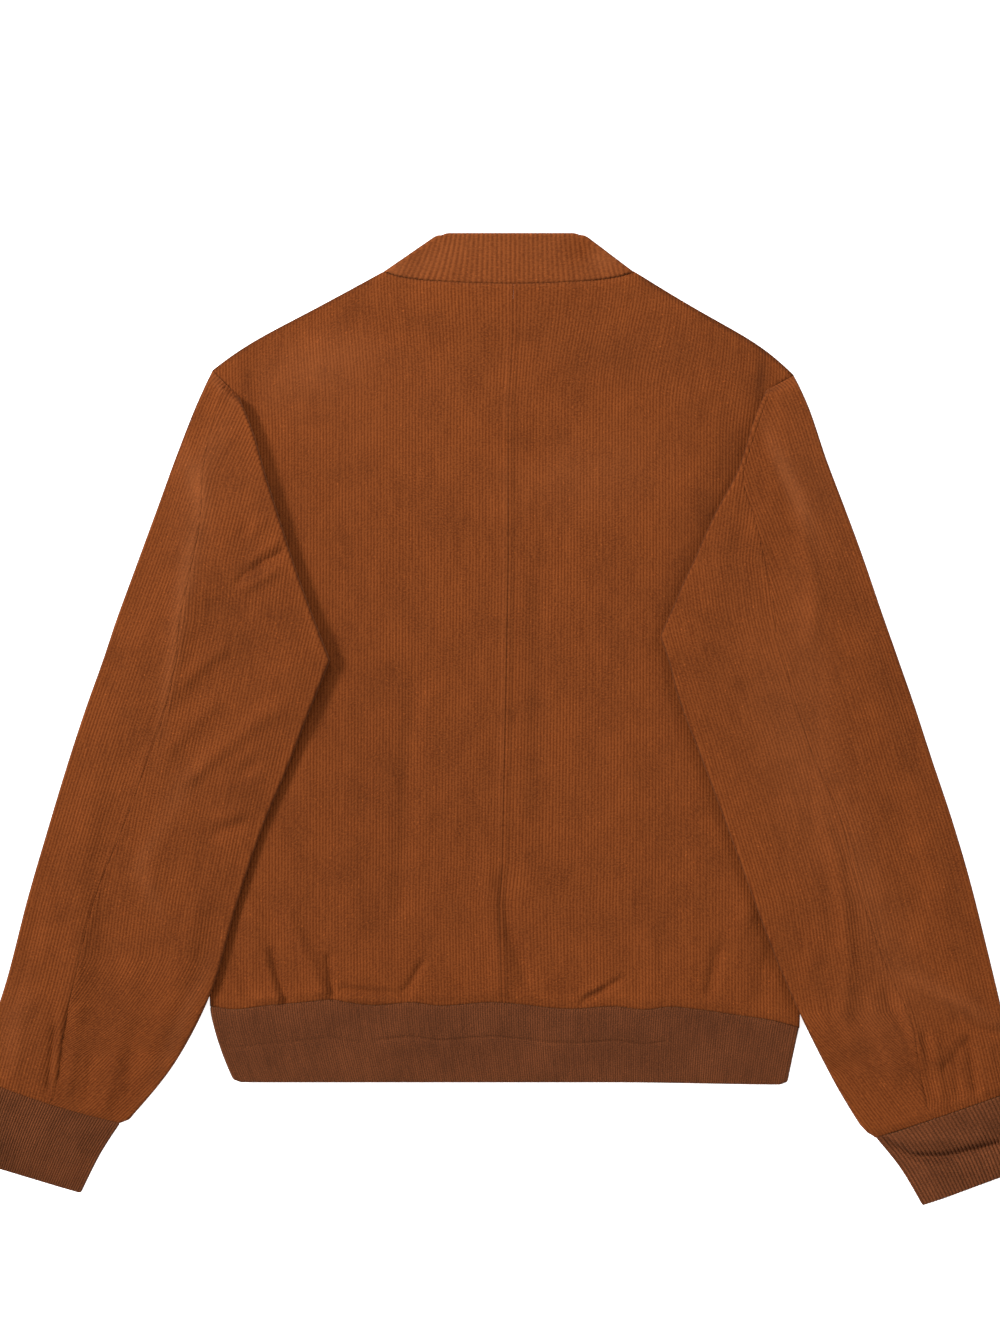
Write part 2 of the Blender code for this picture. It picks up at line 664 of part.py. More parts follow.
def lace(first, first_at, second, second_at):
    """Triangles between two rows of vertex numbers whose places along the edge are given."""
    faces = []
    i = j = 0
    while i < len(first) - 1 or j < len(second) - 1:
        take_first = j == len(second) - 1 or (
            i < len(first) - 1 and first_at[i + 1] <= second_at[j + 1]
        )
        if take_first:
            faces.append((first[i], first[i + 1], second[j]))
            i += 1
        else:
            faces.append((first[i], second[j + 1], second[j]))
            j += 1
    return faces


def grid_faces(numbers):
    a = numbers[:-1, :-1]
    b = numbers[1:, :-1]
    c = numbers[1:, 1:]
    d = numbers[:-1, 1:]
    return np.stack([a, b, c, d], axis=-1).reshape(-1, 4).tolist()


def wall(surface, thickness, across, along, inner_across=None, relief=None, closed=False):
    """A closed wall of even thickness about a surface. across and along are the values of u and v
    that its grid takes. Its inner side may take fewer, and relief raises its outer points."""
    inner_across = across if inner_across is None else inner_across
    sides = []
    for values, way in ((across, 1.0), (inner_across, -1.0)):
        u, v = np.meshgrid(values, along, indexing="ij")
        points = surface(u, v)
        normal = normals(points, closed)
        if way > 0 and relief is not None:
            raised = thickness / 2 + relief(u, v)
        else:
            raised = np.full(u.shape, thickness / 2)
        sides.append(points + way * normal * raised[..., None])
    outer, inner = sides
    if closed:
        outer, inner = outer[:-1], inner[:-1]
    vertices = np.concatenate([outer.reshape(-1, 3), inner.reshape(-1, 3)])
    count = len(along)
    outer_numbers = np.arange(len(outer) * count).reshape(-1, count)
    inner_numbers = len(outer) * count + np.arange(len(inner) * count).reshape(-1, count)
    if closed:
        outer_numbers = np.concatenate([outer_numbers, outer_numbers[:1]])
        inner_numbers = np.concatenate([inner_numbers, inner_numbers[:1]])
    faces = grid_faces(outer_numbers)
    faces += [face[::-1] for face in grid_faces(inner_numbers)]
    for row, flip in ((0, True), (-1, False)):
        strip = lace(outer_numbers[:, row], across, inner_numbers[:, row], inner_across)
        faces += [face[::-1] for face in strip] if flip else strip
    if not closed:
        for row, flip in ((0, False), (-1, True)):
            strip = lace(outer_numbers[row], along, inner_numbers[row], along)
            faces += [face[::-1] for face in strip] if flip else strip
    return vertices, [tuple(int(n) for n in face) for face in faces]


def signed_volume(vertices, faces):
    total = 0.0
    for face in faces:
        for k in range(1, len(face) - 1):
            total += np.linalg.det(vertices[[face[0], face[k], face[k + 1]]])
    return total


def cloth_material(name, colour, roughness):
    material = bpy.data.materials.new(name)
    material.use_nodes = True
    shader = material.node_tree.nodes["Principled BSDF"]
    shader.inputs["Base Color"].default_value = (*colour, 1.0)
    shader.inputs["Roughness"].default_value = roughness
    material.diffuse_color = (*colour, 1.0)
    return material


def sew(name, solid, material, parent):
    """Makes a wall into a named object under the jacket's empty."""
    vertices, faces = solid
    if signed_volume(vertices, faces) < 0:
        faces = [face[::-1] for face in faces]
    mesh = bpy.data.meshes.new(name)
    mesh.from_pydata((vertices * MM).tolist(), [], faces)
    mesh.materials.append(material)
    mesh.shade_smooth()
    mesh.set_sharp_from_angle(angle=0.9)
    piece = bpy.data.objects.new(name, mesh)
    piece.parent = parent
    bpy.context.scene.collection.objects.link(piece)


def spread(*runs):
    """Grid values from runs of (start, end, steps) that follow each other."""
    values = [np.linspace(start, end, steps + 1)[:-1] for start, end, steps in runs]
    return np.concatenate([*values, [runs[-1][1]]])


def ribs(count, leg):
    """Relief of knit ribs on one leg of a band: up at every other grid line."""

    def relief(u, v):
        wave = np.abs(((u - leg) * count) % 1.0 - 0.5) * 2
        return RIB_HEIGHT * (1 - wave) * ((u >= leg) & (u <= leg + 1))

    return relief


def clear_scene():
    for item in list(bpy.data.objects):
        bpy.data.objects.remove(item)


def build():
    clear_scene()
    jacket = bpy.data.objects.new("jacket", None)
    bpy.context.scene.collection.objects.link(jacket)
    cord = cloth_material("corduroy", (0.216, 0.055, 0.014), 0.9)
    knit = cloth_material("rib_knit", (0.130, 0.042, 0.016), 0.95)

    top_across = spread((0, 1, 5), (1, 2, 4), (2, 3, 2))
    under_across = spread((0, 1, 9), (1, 2, 4), (2, 3, 7))

    for side in ("left", "right"):
        rows = len(SLEEVE_ROWS[side]) - 1
        back = panel(side, back_level, 0.0, centre_seam_x, HEM_WAVE)
        across = panel_across(side, 0.0, centre_seam_x(np.array(NECK_Y)), 8)
        sew(f"back_{side}", wall(back, CORD, across, panel_along(side, 13)), cord, jacket)
        front = panel(side, front_level, FRONT_NECK_DROP, centre_front_x, 0.0)
        across = panel_across(side, FRONT_NECK_DROP, NECK_X, 4)
        sew(f"front_{side}", wall(front, CORD, across, panel_along(side, 5)), cord, jacket)
        rings = np.array([*CAP_RINGS, *ARM_RINGS, *range(13, rows + 1)]) / rows
        for name, across in (("top", top_across), ("under", under_across)):
            surface = away_from_armhole(sleeve_piece(side, name, rows), side, rows)
            sew(f"sleeve_{side}_{name}", wall(surface, CORD, across, rings), cord, jacket)
        cuff_ribs = int(CUFF_WIDTH / RIB)
        sew(
            f"cuff_{side}",
            wall(
                cuff_surface(side),
                KNIT,
                spread((0, 1, 2 * cuff_ribs), (1, 2, 4), (2, 3, 6), (3, 4, 4)),
                spread((0, 1, 2)),
                inner_across=spread((0, 1, 6), (1, 2, 4), (2, 3, 6), (3, 4, 4)),
                relief=ribs(cuff_ribs, 0),
                closed=True,
            ),
            knit,
            jacket,
        )

    band_ribs = int(2 * HEM_HALF_TOP / RIB)
    coarse = ((0, 1, 5), (1, 2, 4))
    sew(
        "hem_band",
        wall(
            band_surface(),
            KNIT,
            spread(*coarse, (2, 3, 2 * band_ribs), (3, 4, 4), (4, 5, 5)),
            spread((0, 1, 2)),
            inner_across=spread(*coarse, (2, 3, 16), (3, 4, 4), (4, 5, 5)),
            relief=ribs(band_ribs, 2),
        ),
        knit,
        jacket,
    )
    half = neck_steps() / (1 - COLLAR_TRIM)
    collar_across = [
        half[:-1],
        spread((1, 2, 4))[:-1],
        2.5 - half[:0:-1] / 2,
        2.5 + half[:-1] / 2,
        spread((3, 4, 4))[:-1],
        5 - half[::-1],
    ]
    collar = wall(collar_surface(), COLLAR_CORD, np.concatenate(collar_across), spread((0, 1, 4)))
    sew("collar", collar, cord, jacket)


build()
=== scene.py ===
# %% [markdown]
# # A corduroy blouson jacket, laid flat with its back up
# The real jacket is cut from rust-brown corduroy, a cotton cloth whose pile stands in rows called
# wales, and trimmed with rib-knit cuffs and a rib-knit hem band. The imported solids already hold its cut
# and its size. This lesson sews a finer skin over each of them: the wales, ribs, creases and seams are
# real geometry, and the materials add the fibres, the nap and the dyed colour.

# %% The frame
import math

import bpy
import numpy as np
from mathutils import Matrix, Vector


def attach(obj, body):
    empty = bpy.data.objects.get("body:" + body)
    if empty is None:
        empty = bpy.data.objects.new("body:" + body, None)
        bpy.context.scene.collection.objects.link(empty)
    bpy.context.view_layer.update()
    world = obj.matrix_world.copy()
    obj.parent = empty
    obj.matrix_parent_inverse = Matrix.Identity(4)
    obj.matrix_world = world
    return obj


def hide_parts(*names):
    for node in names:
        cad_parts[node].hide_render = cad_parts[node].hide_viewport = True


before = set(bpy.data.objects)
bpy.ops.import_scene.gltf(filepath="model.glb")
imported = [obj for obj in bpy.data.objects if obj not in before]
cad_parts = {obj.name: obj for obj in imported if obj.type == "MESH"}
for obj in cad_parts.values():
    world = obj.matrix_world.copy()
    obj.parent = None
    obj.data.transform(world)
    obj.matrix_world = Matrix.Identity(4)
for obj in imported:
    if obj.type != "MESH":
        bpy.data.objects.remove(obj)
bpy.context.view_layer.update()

MM = 0.001  # the tables below are in millimetres, and Blender works in metres

# %% [markdown]
# ## Small tools
# Every shape below is worked out with whole arrays. A few short functions do the work that a draper
# does with chalk: an even S between two levels, a smooth curve through marks, and soft folds.

# %% Curves and folds


def smooth(t):
    """3 t^2 - 2 t^3 with t held between 0 and 1: an even S."""
    t = np.clip(t, 0.0, 1.0)
    return t * t * (3 - 2 * t)


def through(values, t):
    """A smooth curve through values at t = 0, 1, 2...: each span is the cubic that leaves and meets
    its ends along the chord of their neighbours."""
    t = np.clip(t, 0, len(values) - 1)
    k = np.minimum(t.astype(int), len(values) - 2)
    f = t - k
    p0 = values[np.maximum(k - 1, 0)]
    p1 = values[k]
    p2 = values[k + 1]
    p3 = values[np.minimum(k + 2, len(values) - 1)]
    cubic = 1.5 * (p1 - p2) + (p3 - p0) / 2
    square = p0 - 2.5 * p1 + 2 * p2 - p3 / 2
    return p1 + f * ((p2 - p0) / 2 + f * (square + f * cubic))


def folds(table, x, y):
    """Sum over the rows x0, y0, x1, y1, half width, height: height times a bell across the line
    between the two points. It fades from 1.25 widths before an end, and is half there, so that two rows
    which share an end join evenly."""
    height = np.zeros_like(x)
    for x0, y0, x1, y1, width, rise in table:
        along = np.array([x1 - x0, y1 - y0], float)
        length = np.linalg.norm(along)
        along /= length
        s = (x - x0) * along[0] + (y - y0) * along[1]
        aside = (x - x0) * along[1] - (y - y0) * along[0]
        past = np.maximum(0, 1.25 * width + np.maximum(-s, s - length))
        height += rise * np.exp(-((aside / width) ** 2) - (past / (1.5 * width)) ** 2)
    return height


def spread(*runs):
    """Grid values from runs of (start, end, steps) that follow each other."""
    values = [np.linspace(start, end, steps + 1)[:-1] for start, end, steps in runs]
    return np.concatenate([*values, [runs[-1][1]]])


def sign_of(side):
    """-1 for the wearer's left, at -X, and 1 for the right."""
    return -1.0 if side == "left" else 1.0


# %% [markdown]
# ## The cut
# These are the jacket's own measurements. Most are the ones that its solids were made from, and a few,
# such as the wavy hem seam, the air in the folds and the right hem corner, are finer here. Heights
# count from the middle of the laid jacket, and X runs to the wearer's right.

# %% Cloth and levels
CORD = 2.0  # thickness of one layer of corduroy
COLLAR_CORD = 3.0
KNIT = 2.6
SEAM = 0.02  # a sewn seam is drawn tight
REST = 0.4
WALE = 2.6  # pitch of the wales
COLLAR_WALE = 3.7
RIB = 2.0  # pitch of the knit ribs
CUFF_RIB = {"left": 2.0, "right": 3.0}  # the right cuff is pulled wider than the left
FRONT_LEVEL = CORD / 2
EDGE_LEVEL = FRONT_LEVEL + CORD + REST  # the back where it is pressed on the front
BACK_LEVEL = EDGE_LEVEL + 2.0  # the back where air lifts it
EDGE_FLAT, EDGE_ROLL = 2.0, 55.0
HEM_PRESS, HEM_PRESS_RUN = 0.4, 30.0
COLLAR_RUN, COLLAR_MARGIN = 12.0, 16.0
FOLD_FADE = 1.2

# %% Body lines
CENTRE_X, NECK_X, NECK_Y, NECK_POINT_RISE = 6.0, 9.0, 357.0, 11.0
NECK_HALF = {"left": 102.0, "right": 99.0}
FRONT_NECK_DROP = 55.0
COLLAR_HEIGHT, COLLAR_TOP_HALF, COLLAR_AIR = 41.6, 56.4, 0.4
COLLAR_INSET, COLLAR_ROUND = {"left": 1.3, "right": 1.8}, 1.8
SHOULDER_SWELL, SHOULDER_LIFT = {"left": 3.6, "right": 5.2}, {"left": 1.2, "right": 1.0}
SIDE_HOLLOW = 3.0
HEM_SEAM_Y, HEM_BOTTOM_Y, HEM_HALF_TOP, HEM_HALF_BOTTOM = -236.0, -298.0, 244.0, 223.0
HEM_CORNER = {"left": 244.0, "right": 239.8}
HEM_LINE = (  # x and y of the marks along the wavy hem seam
    (-238, -236),
    (-218, -238.6),
    (-191, -235.3),
    (-163, -232.9),
    (-138, -230.4),
    (-124, -233),
    (-102, -235.3),
    (-74, -232.6),
    (-49, -235.5),
    (-8, -232.6),
    (19, -234.5),
    (42, -237.2),
    (62, -238),
    (94, -236),
    (119, -238.8),
    (140, -236.4),
    (171, -239.6),
    (197, -243.5),
    (224, -247.6),
    (250, -254),
)
HEM_SLANT, BOTTOM_SLANT, SLANT_START, SLANT_RUN = 18.0, 2.0, 90.0, 160.0
CENTRE_SEAM = {"y": (357, 316, 250, 130, 16, -120, -152, -235), "x": (5, 5, 1, 1, -1, -4, -7, -4)}

SLEEVE_COLUMNS = ("outer_x", "outer_y", "inner_x", "inner_y", "hind", "under")
SLEEVE_ROWS = {
    "left": (
        (-236, 286, -215, 265, 0.52, 0.84),
        (-251, 253, -202, 234, 0.36, 0.88),
        (-267, 212, -192, 200, 0.33, 0.82),
        (-282, 171, -179, 159, 0.36, 0.76),
        (-300, 122, -166.5, 121, 0.35, 0.66),
        (-315, 81, -153, 84, 0.33, 0.51),
        (-326, 48, -139, 48, 0.33, 0.33),
        (-341, 6, -156, 6, 0.36, 0.32),
        (-356, -40, -174, -40, 0.36, 0.30),
        (-372, -93, -196, -93, 0.35, 0.28),
        (-388, -148, -216, -153, 0.32, 0.28),
        (-405, -214, -237, -224, 0.33, 0.30),
        (-420, -259, -269, -282, 0.39, 0.33),
        (-430, -294, -312, -332, 0.52, 0.36),
    ),
    "right": (
        (241.2, 282, 219, 270, 0.84, 0.84),
        (254.2, 253, 209, 247, 0.90, 0.80),
        (268.2, 212, 195, 204, 0.93, 0.73),
        (284.2, 170, 175, 166, 0.70, 0.62),
        (298.2, 132, 158, 128, 0.58, 0.53),
        (313.2, 88, 140, 88, 0.51, 0.41),
        (327.2, 48, 138, 48, 0.50, 0.27),
        (340.2, 11, 148, 12, 0.51, 0.26),
        (355.2, -35, 166, -35, 0.51, 0.25),
        (371.2, -83, 184, -83, 0.49, 0.25),
        (386.2, -134, 203, -135, 0.51, 0.25),
        (401.2, -194, 226, -196, 0.50, 0.26),
        (412.2, -240, 251, -252, 0.47, 0.28),
        (419.2, -270, 277, -298, 0.52, 0.31),
        (427.2, -303, 308, -344, 0.60, 0.34),
    ),
}
ARMPIT = 5.7  # rows from the shoulder to the armpit
ELBOWS = {"left": (6.0, 0.0), "right": (5.5, 8.0)}  # rows down to the inner fold's corner, and its reach
ELBOW_STRAIGHT, ELBOW_BLEND = 0.6, 0.8  # rows beside the corner that run straight, and their fade
SLEEVE_LOFT, LOFT_RUN, FOLD_RUN, EDGE_GAP, CAP_RUN = 2.4, 30.0, 9.0, 0.6, 0.45
# Air inside the folded edges, as rows down the sleeve and millimetres: the inner edge springs open most
# at the elbow.
INNER_AIR = {
    "left": (
        (0, 1, 2, 3.5, 4.6, 6, 7, 7.5, 9, 10.5, 13),
        (3.0, 4.8, 5.4, 4.6, 4.6, 6.4, 5.0, 3.2, 1.0, 0.8, 0.6),
    ),
    "right": ((0, 2, 5, 7, 10, 12, 14), (0.6, 2.2, 3.2, 3.2, 2.6, 1.6, 0.6)),
}
SHELF, STEP_DOWN, BODY_STEP, STEP_LEAD, OVER_BODY, PAST_HEM = 3.0, 11.0, 80.0, 6.0, 14.0, 60.0

CUFF_COLUMNS = ("outer_x", "outer_y", "inner_x", "inner_y")
CUFF_ROWS = {
    "left": ((-430, -294, -312, -332), (-440, -327, -328, -357), (-447, -358, -344, -389)),
    "right": ((427.2, -303, 308, -344), (439, -333, 328, -369), (447, -362, 346, -399.4)),
}
CUFF_PLUMP, CUFF_PLUMP_RUN = {"left": 1.2, "right": 3.6}, 22.0
BAND_AIR, BAND_PLUMP, BAND_PLUMP_RUN, CORNER_ROUND = 1.0, 0.6, 30.0, 2.2
CUFF_SAG = {"left": 2.4, "right": 0.6}  # how far the cuff's seam bows towards the hand
PUFF = {"left": (4.6, 0.18), "right": (5.4, 0.34)}  # swell of the eased sleeve above the cuff, and its fade
PUFF_ROWS = 1.2  # how many rows up the swell reaches

# %% Lines from those numbers


def centre_seam_x(y):
    """The centre-back seam, read between its marks."""
    return CENTRE_X + np.interp(y, CENTRE_SEAM["y"][::-1], CENTRE_SEAM["x"][::-1])


def hem_seam_y(x, eased=1.0):
    """The wavy seam, smooth between its marks, or where eased is 0 a level line, less the slant at the
    wearer's right."""
    marks = np.array(HEM_LINE, float)
    place = np.interp(x, marks[:, 0], np.arange(len(marks), dtype=float))
    level = HEM_SEAM_Y - HEM_SLANT * smooth((x - SLANT_START) / SLANT_RUN)
    return level + eased * (through(marks[:, 1], np.asarray(place)) - level)


def sleeve_column(side, name, v):
    rows = np.array(SLEEVE_ROWS[side], float)
    return through(rows[:, SLEEVE_COLUMNS.index(name)], v)


def sleeve_ends(side, v):
    """Outer and inner ends of the laid sleeve's section at v, counted in rows. Near its elbow the inner
    edge runs straight between the rows, and a tent of the corner's reach is added, so it is sharp.
    Above the cuff it swells out in a bell, rise exp(-(rows / PUFF_ROWS)^2), that ends on the seam."""
    ends = [sleeve_column(side, name, v) for name in SLEEVE_COLUMNS[:4]]
    corner, reach = ELBOWS[side]
    rows = np.array(SLEEVE_ROWS[side], float)
    straight = 1 - smooth((np.abs(v - corner) - ELBOW_STRAIGHT) / ELBOW_BLEND)
    for k in (2, 3):
        ends[k] = ends[k] + straight * (np.interp(v, np.arange(len(rows)), rows[:, k]) - ends[k])
    ends[2] = ends[2] + sign_of(side) * -reach * np.maximum(0, 1 - 2 * np.abs(v - corner))
    above = len(rows) - 1 - v
    rise, fade = PUFF[side]
    swell = rise * np.exp(-((above / PUFF_ROWS) ** 2)) * smooth(above / fade)
    ends[2] = ends[2] - sign_of(side) * swell
    return np.stack(ends[:2], axis=-1), np.stack(ends[2:], axis=-1)


def top_edge(side, x, drop):
    """The neckline, a part of an ellipse, then the shoulder: a line to the shoulder point with
    swells of sin(pi t^2.5) and sin(pi t^0.6), carried straight on past it."""
    shoulder_x, shoulder_y = sleeve_ends(side, np.array([0.0]))[0][0]
    out = np.abs(x - NECK_X)
    half = NECK_HALF[side]
    share = np.clip(out / half, 0, 1)
    neck = NECK_Y + NECK_POINT_RISE - (NECK_POINT_RISE + drop) * np.sqrt(1 - share**2)
    t = (out - half) / (abs(shoulder_x - NECK_X) - half)
    shoulder = NECK_Y + NECK_POINT_RISE + t * (shoulder_y - NECK_Y - NECK_POINT_RISE)
    shoulder = shoulder + SHOULDER_SWELL[side] * np.sin(np.pi * np.clip(t, 0, 1) ** 2.5)
    shoulder = shoulder + SHOULDER_LIFT[side] * np.sin(np.pi * np.clip(t, 0, 1) ** 0.6)
    return np.where(t > 0, shoulder, neck)


def armhole_line(side):
    v = np.linspace(0, ARMPIT, 60)
    outer, inner = sleeve_ends(side, v)
    share = sleeve_column(side, "under", v)[:, None]
    return np.concatenate([outer[:1], outer + share * (inner - outer)])


def side_line(side):
    """From the armpit to the hem corner, with a hollow of sin(pi t)."""
    armpit = armhole_line(side)[-1]
    corner_x = CENTRE_X + sign_of(side) * HEM_CORNER[side]
    corner = np.array([corner_x, hem_seam_y(corner_x)])
    t = np.linspace(0, 1, 40)[1:, None]
    line = armpit + t * (corner - armpit)
    line[:, 0] -= sign_of(side) * SIDE_HOLLOW * np.sin(np.pi * t[:, 0])
    return line


def edge_points(side):
    """Points along the shoulder, the armhole and the side."""
    shoulder_x = sleeve_ends(side, np.array([0.0]))[0][0][0]
    x = np.linspace(NECK_X + sign_of(side) * NECK_HALF[side], shoulder_x, 50)
    shoulder = np.stack([x, top_edge(side, x, 0.0)], axis=-1)
    return np.concatenate([shoulder, armhole_line(side), side_line(side)])


EDGE_POINTS = np.concatenate([edge_points(side) for side in ("left", "right")])
print("edge points", len(EDGE_POINTS))

# %% [markdown]
# ## Folds
# Cloth that lies is never even. Each row below is one crease, pucker or soft swell, given as the
# two ends of its line, its half width and its height. Troughs are below 0. The deep ones gather above
# the hem band and the cuffs, where the wider corduroy is eased onto the tighter knit.

# %% Creases of the back
BACK_FOLDS = (
    (2, -125, 6, -170, 7, -2.28),
    (6, -170, 23, -214, 6, -2.66),
    (-12, -110, 2, -225, 9, 1.9),
    (31, 130, 31, -84, 8, -0.8),
    (18, 130, 18, -84, 8, 0.45),
    (-70, 35, -82, -160, 9, -2.09),
    (-82, -160, -86, -152, 8, -1.14),
    (-111, 12, -109, -78, 9, -1.17),
    (-128, -100, -120, -180, 12, 1.33),
    (-141, -194, -137, -228, 3.4, -3.2),
    (-176, -156, -144, -228, 6, 3.0),
    (-188, -188, -175, -234, 4, -2.6),
    (-194, -194, -181, -236, 3.5, 1.6),
    (-205, -158, -200, -200, 9, 2.28),
    (-217, -194, -207, -230, 4.6, -1.6),
    (-200, -145, -183, -168, 5, -1.71),
    (-198, -229, -176, -229, 3.4, 1.6),
    (-132, -222, -74, -227, 3.4, -2.6),
    (-126, -229, -78, -232.5, 2.6, 1.0),
    (-80, -228, -63, -199, 3.4, -2.4),
    (67, -232, 83, -224, 3.2, -2.6),
    (83, -224, 100, -213, 3.2, -2.6),
    (66, -226, 84, -217, 3, 1.2),
    (120, -170, 128, -225, 9, 1.52),
    (180, -188, 171, -228, 5, -2.6),
    (204, -151, 197, -178, 9, 2.47),
    (222, -190, 214, -232, 8, -1.71),
    (26, 238, 62, 222, 10, -1.17),
    (40, 196, 90, 206, 9, 1.04),
    (60, 160, 110, 150, 12, 0.65),
    (-20, 260, -90, 240, 14, 0.65),
    (-60, 200, -130, 190, 12, -0.65),
    (-130, 322, -60, 318, 14, -1.17),
    (50, 330, 150, 316, 12, -1.17),
    (-170, 300, -120, 320, 12, 1.04),
    (-170, 20, -150, -90, 12, 0.91),
    (100, -20, 112, -140, 12, 0.78),
    (140, -60, 150, -160, 12, -1.14),
)

# %% Creases of the sleeves
SLEEVE_FOLDS = {
    "left": (
        (-175, 139, -203, 122, 2.6, -2.6),
        (-178, 131, -204, 115, 2.4, -1.5),
        (-180, 146, -206, 129, 2.6, 1.3),
        (-203, 122, -216, 111, 3.2, -2.2),
        (-190, 164, -203, 154, 6, 1.6),
        (-182, 122, -210, 107, 5, 2.4),
        (-206, 158, -212, 150, 4, -1.28),
        (-228, 97, -242, 89, 7, -1.3),
        (-224, 58, -246, 44, 6, 2.4),
        (-246, 44, -260, 28, 6, 2.08),
        (-232, 14, -276, -30, 7, 1.8),
        (-184, 10, -236, -32, 7, 2.24),
        (-236, -32, -258, -52, 6, 2.56),
        (-258, -52, -282, -33, 6, 1.6),
        (-240, 30, -275, 0, 8, -1.1),
        (-197, -34, -214, -47, 6, -2.08),
        (-209, -85, -236, -94, 5, -2.24),
        (-208, -76, -236, -84, 6, 1.44),
        (-290, -98, -282, -121, 7, 1.6),
        (-282, -121, -290, -148, 7, 1.6),
        (-269, -229, -290, -294, 8, 1.92),
        (-248, -150, -262, -215, 9, 1.44),
        (-365, -252, -370, -302, 3.4, -2.4),
        (-354, -236, -362, -296, 3.4, -2.0),
        (-359, -240, -366, -300, 3.4, 1.6),
        (-346, -236, -353, -306, 4, 1.7),
        (-333, -262, -338, -310, 4, -1.3),
        (-392, -230, -398, -296, 7, 1.44),
        (-312, -266, -324, -318, 5, 1.6),
        (-300, -250, -306, -310, 5, -1.44),
        (-262, 215, -258, 150, 9, 1.92),
        (-258, 150, -264, 60, 9, 2.24),
        (-264, 60, -272, 20, 9, 1.44),
        (-226, 214, -240, 140, 9, -1.28),
        (-330, -60, -352, -160, 12, 1.28),
        (-340, -140, -356, -236, 9, 1.5),
        (-322, -160, -334, -250, 9, -1.4),
        (-298, -180, -308, -262, 9, 1.3),
        (-384, -150, -402, -240, 10, -1.2),
        (-300, -20, -330, -120, 10, -1.12),
    ),
    "right": (
        (246, 171, 258, 102, 7, 2.08),
        (258, 102, 255, 62, 7, 1.92),
        (264, -82, 276, -116, 6, 2.24),
        (276, -116, 282, -163, 6, 2.08),
        (282, -163, 286, -200, 6, 1.92),
        (286, -200, 280, -250, 7, 1.6),
        (270, -120, 272, -190, 6, -0.9),
        (315, -221, 338, -272, 4.5, -2.2),
        (338, -272, 351, -310, 5, -2.4),
        (304, -232, 326, -296, 7, 1.92),
        (330, -232, 348, -290, 7, 1.76),
        (330, -213, 360, -226, 6, 1.6),
        (360, -226, 387, -238, 4.6, 2.5),
        (387, -238, 408, -253, 4, 2.4),
        (372, -243, 404, -261, 4, -1.9),
        (363, -288, 383, -264, 4.6, -2.0),
        (356, -262, 362, -314, 4.2, 1.7),
        (348, -256, 354, -318, 4.2, -1.6),
        (372, -280, 376, -312, 3.2, -1.4),
        (384, -262, 390, -308, 3.4, -1.8),
        (391, -264, 397, -306, 3.4, 1.4),
        (398, -262, 404, -304, 6, 1.76),
        (228, 200, 216, 150, 10, 1.44),
        (205, 190, 192, 130, 8, -1.12),
        (160, 60, 200, 30, 8, 1.6),
        (164, 84, 206, 64, 7, -1.44),
        (170, 10, 216, -30, 9, -1.12),
        (190, -10, 232, -40, 9, 1.28),
        (300, 60, 330, -40, 12, 1.28),
        (340, -40, 370, -150, 12, 1.12),
        (322, -60, 350, -160, 9, -1.12),
        (240, -60, 252, -150, 10, 1.12),
        (262, -200, 282, -268, 7, -1.28),
    ),
}
CUFF_FOLDS = {
    "left": (
        (-400, -318, -404, -350, 8, 0.5),
        (-360, -326, -372, -366, 7, -0.5),
        (-344, -336, -352, -372, 6, 0.5),
    ),
    "right": (
        (306, -342, 338, -359, 3.4, -4.6),
        (338, -359, 363, -359, 3.4, -4.8),
        (363, -359, 410, -348, 3.4, -3.6),
        (410, -348, 436, -340, 6, -1.2),
        (322, -345, 396, -344, 6, 2.4),
        (340, -374, 420, -364, 8, 1.0),
    ),
}

# %% [markdown]
# ## Levels
# Laid out, the jacket is a stack of layers. The back rises from its pressed edges onto the air under it,
# and the sleeves step up from the table onto the body.

# %% Heights of the layers


def edge_distance(x, y):
    """Distance to the nearest point of the laid body's shoulders, armholes and sides."""
    found = np.full(x.shape, np.inf)
    for points in np.array_split(EDGE_POINTS, 8):
        apart = np.hypot(x[..., None] - points[:, 0], y[..., None] - points[:, 1])
        found = np.minimum(found, apart.min(axis=-1))
    return found


def back_level(x, y):
    """Edge level plus an S over the roll, less the press at the hem, plus the folds."""
    inside = smooth((edge_distance(x, y) - EDGE_FLAT) / EDGE_ROLL)
    hem = smooth(1 - (y - hem_seam_y(x)) / HEM_PRESS_RUN)
    level = EDGE_LEVEL + (BACK_LEVEL - EDGE_LEVEL) * inside
    front_neck = smooth((y - NECK_Y + FRONT_NECK_DROP + COLLAR_MARGIN) / COLLAR_RUN)
    over_collar = front_neck * smooth((NECK_HALF["left"] + COLLAR_MARGIN - np.abs(x - NECK_X)) / COLLAR_RUN)
    level = np.maximum(level, EDGE_LEVEL + (COLLAR_CORD - CORD) * over_collar)
    risen = smooth((level - EDGE_LEVEL) / FOLD_FADE)
    level = level - HEM_PRESS * hem * inside + folds(BACK_FOLDS, x, y) * risen
    return np.maximum(level, EDGE_LEVEL - 0.3 * risen)


def rest_level(x, y):
    """Where a sleeve lies on the back: clear of it everywhere."""
    inside = smooth((edge_distance(x, y) + OVER_BODY) / EDGE_ROLL)
    even = EDGE_LEVEL + (BACK_LEVEL - EDGE_LEVEL) * inside
    return np.maximum(even, back_level(x, y)) + CORD + REST


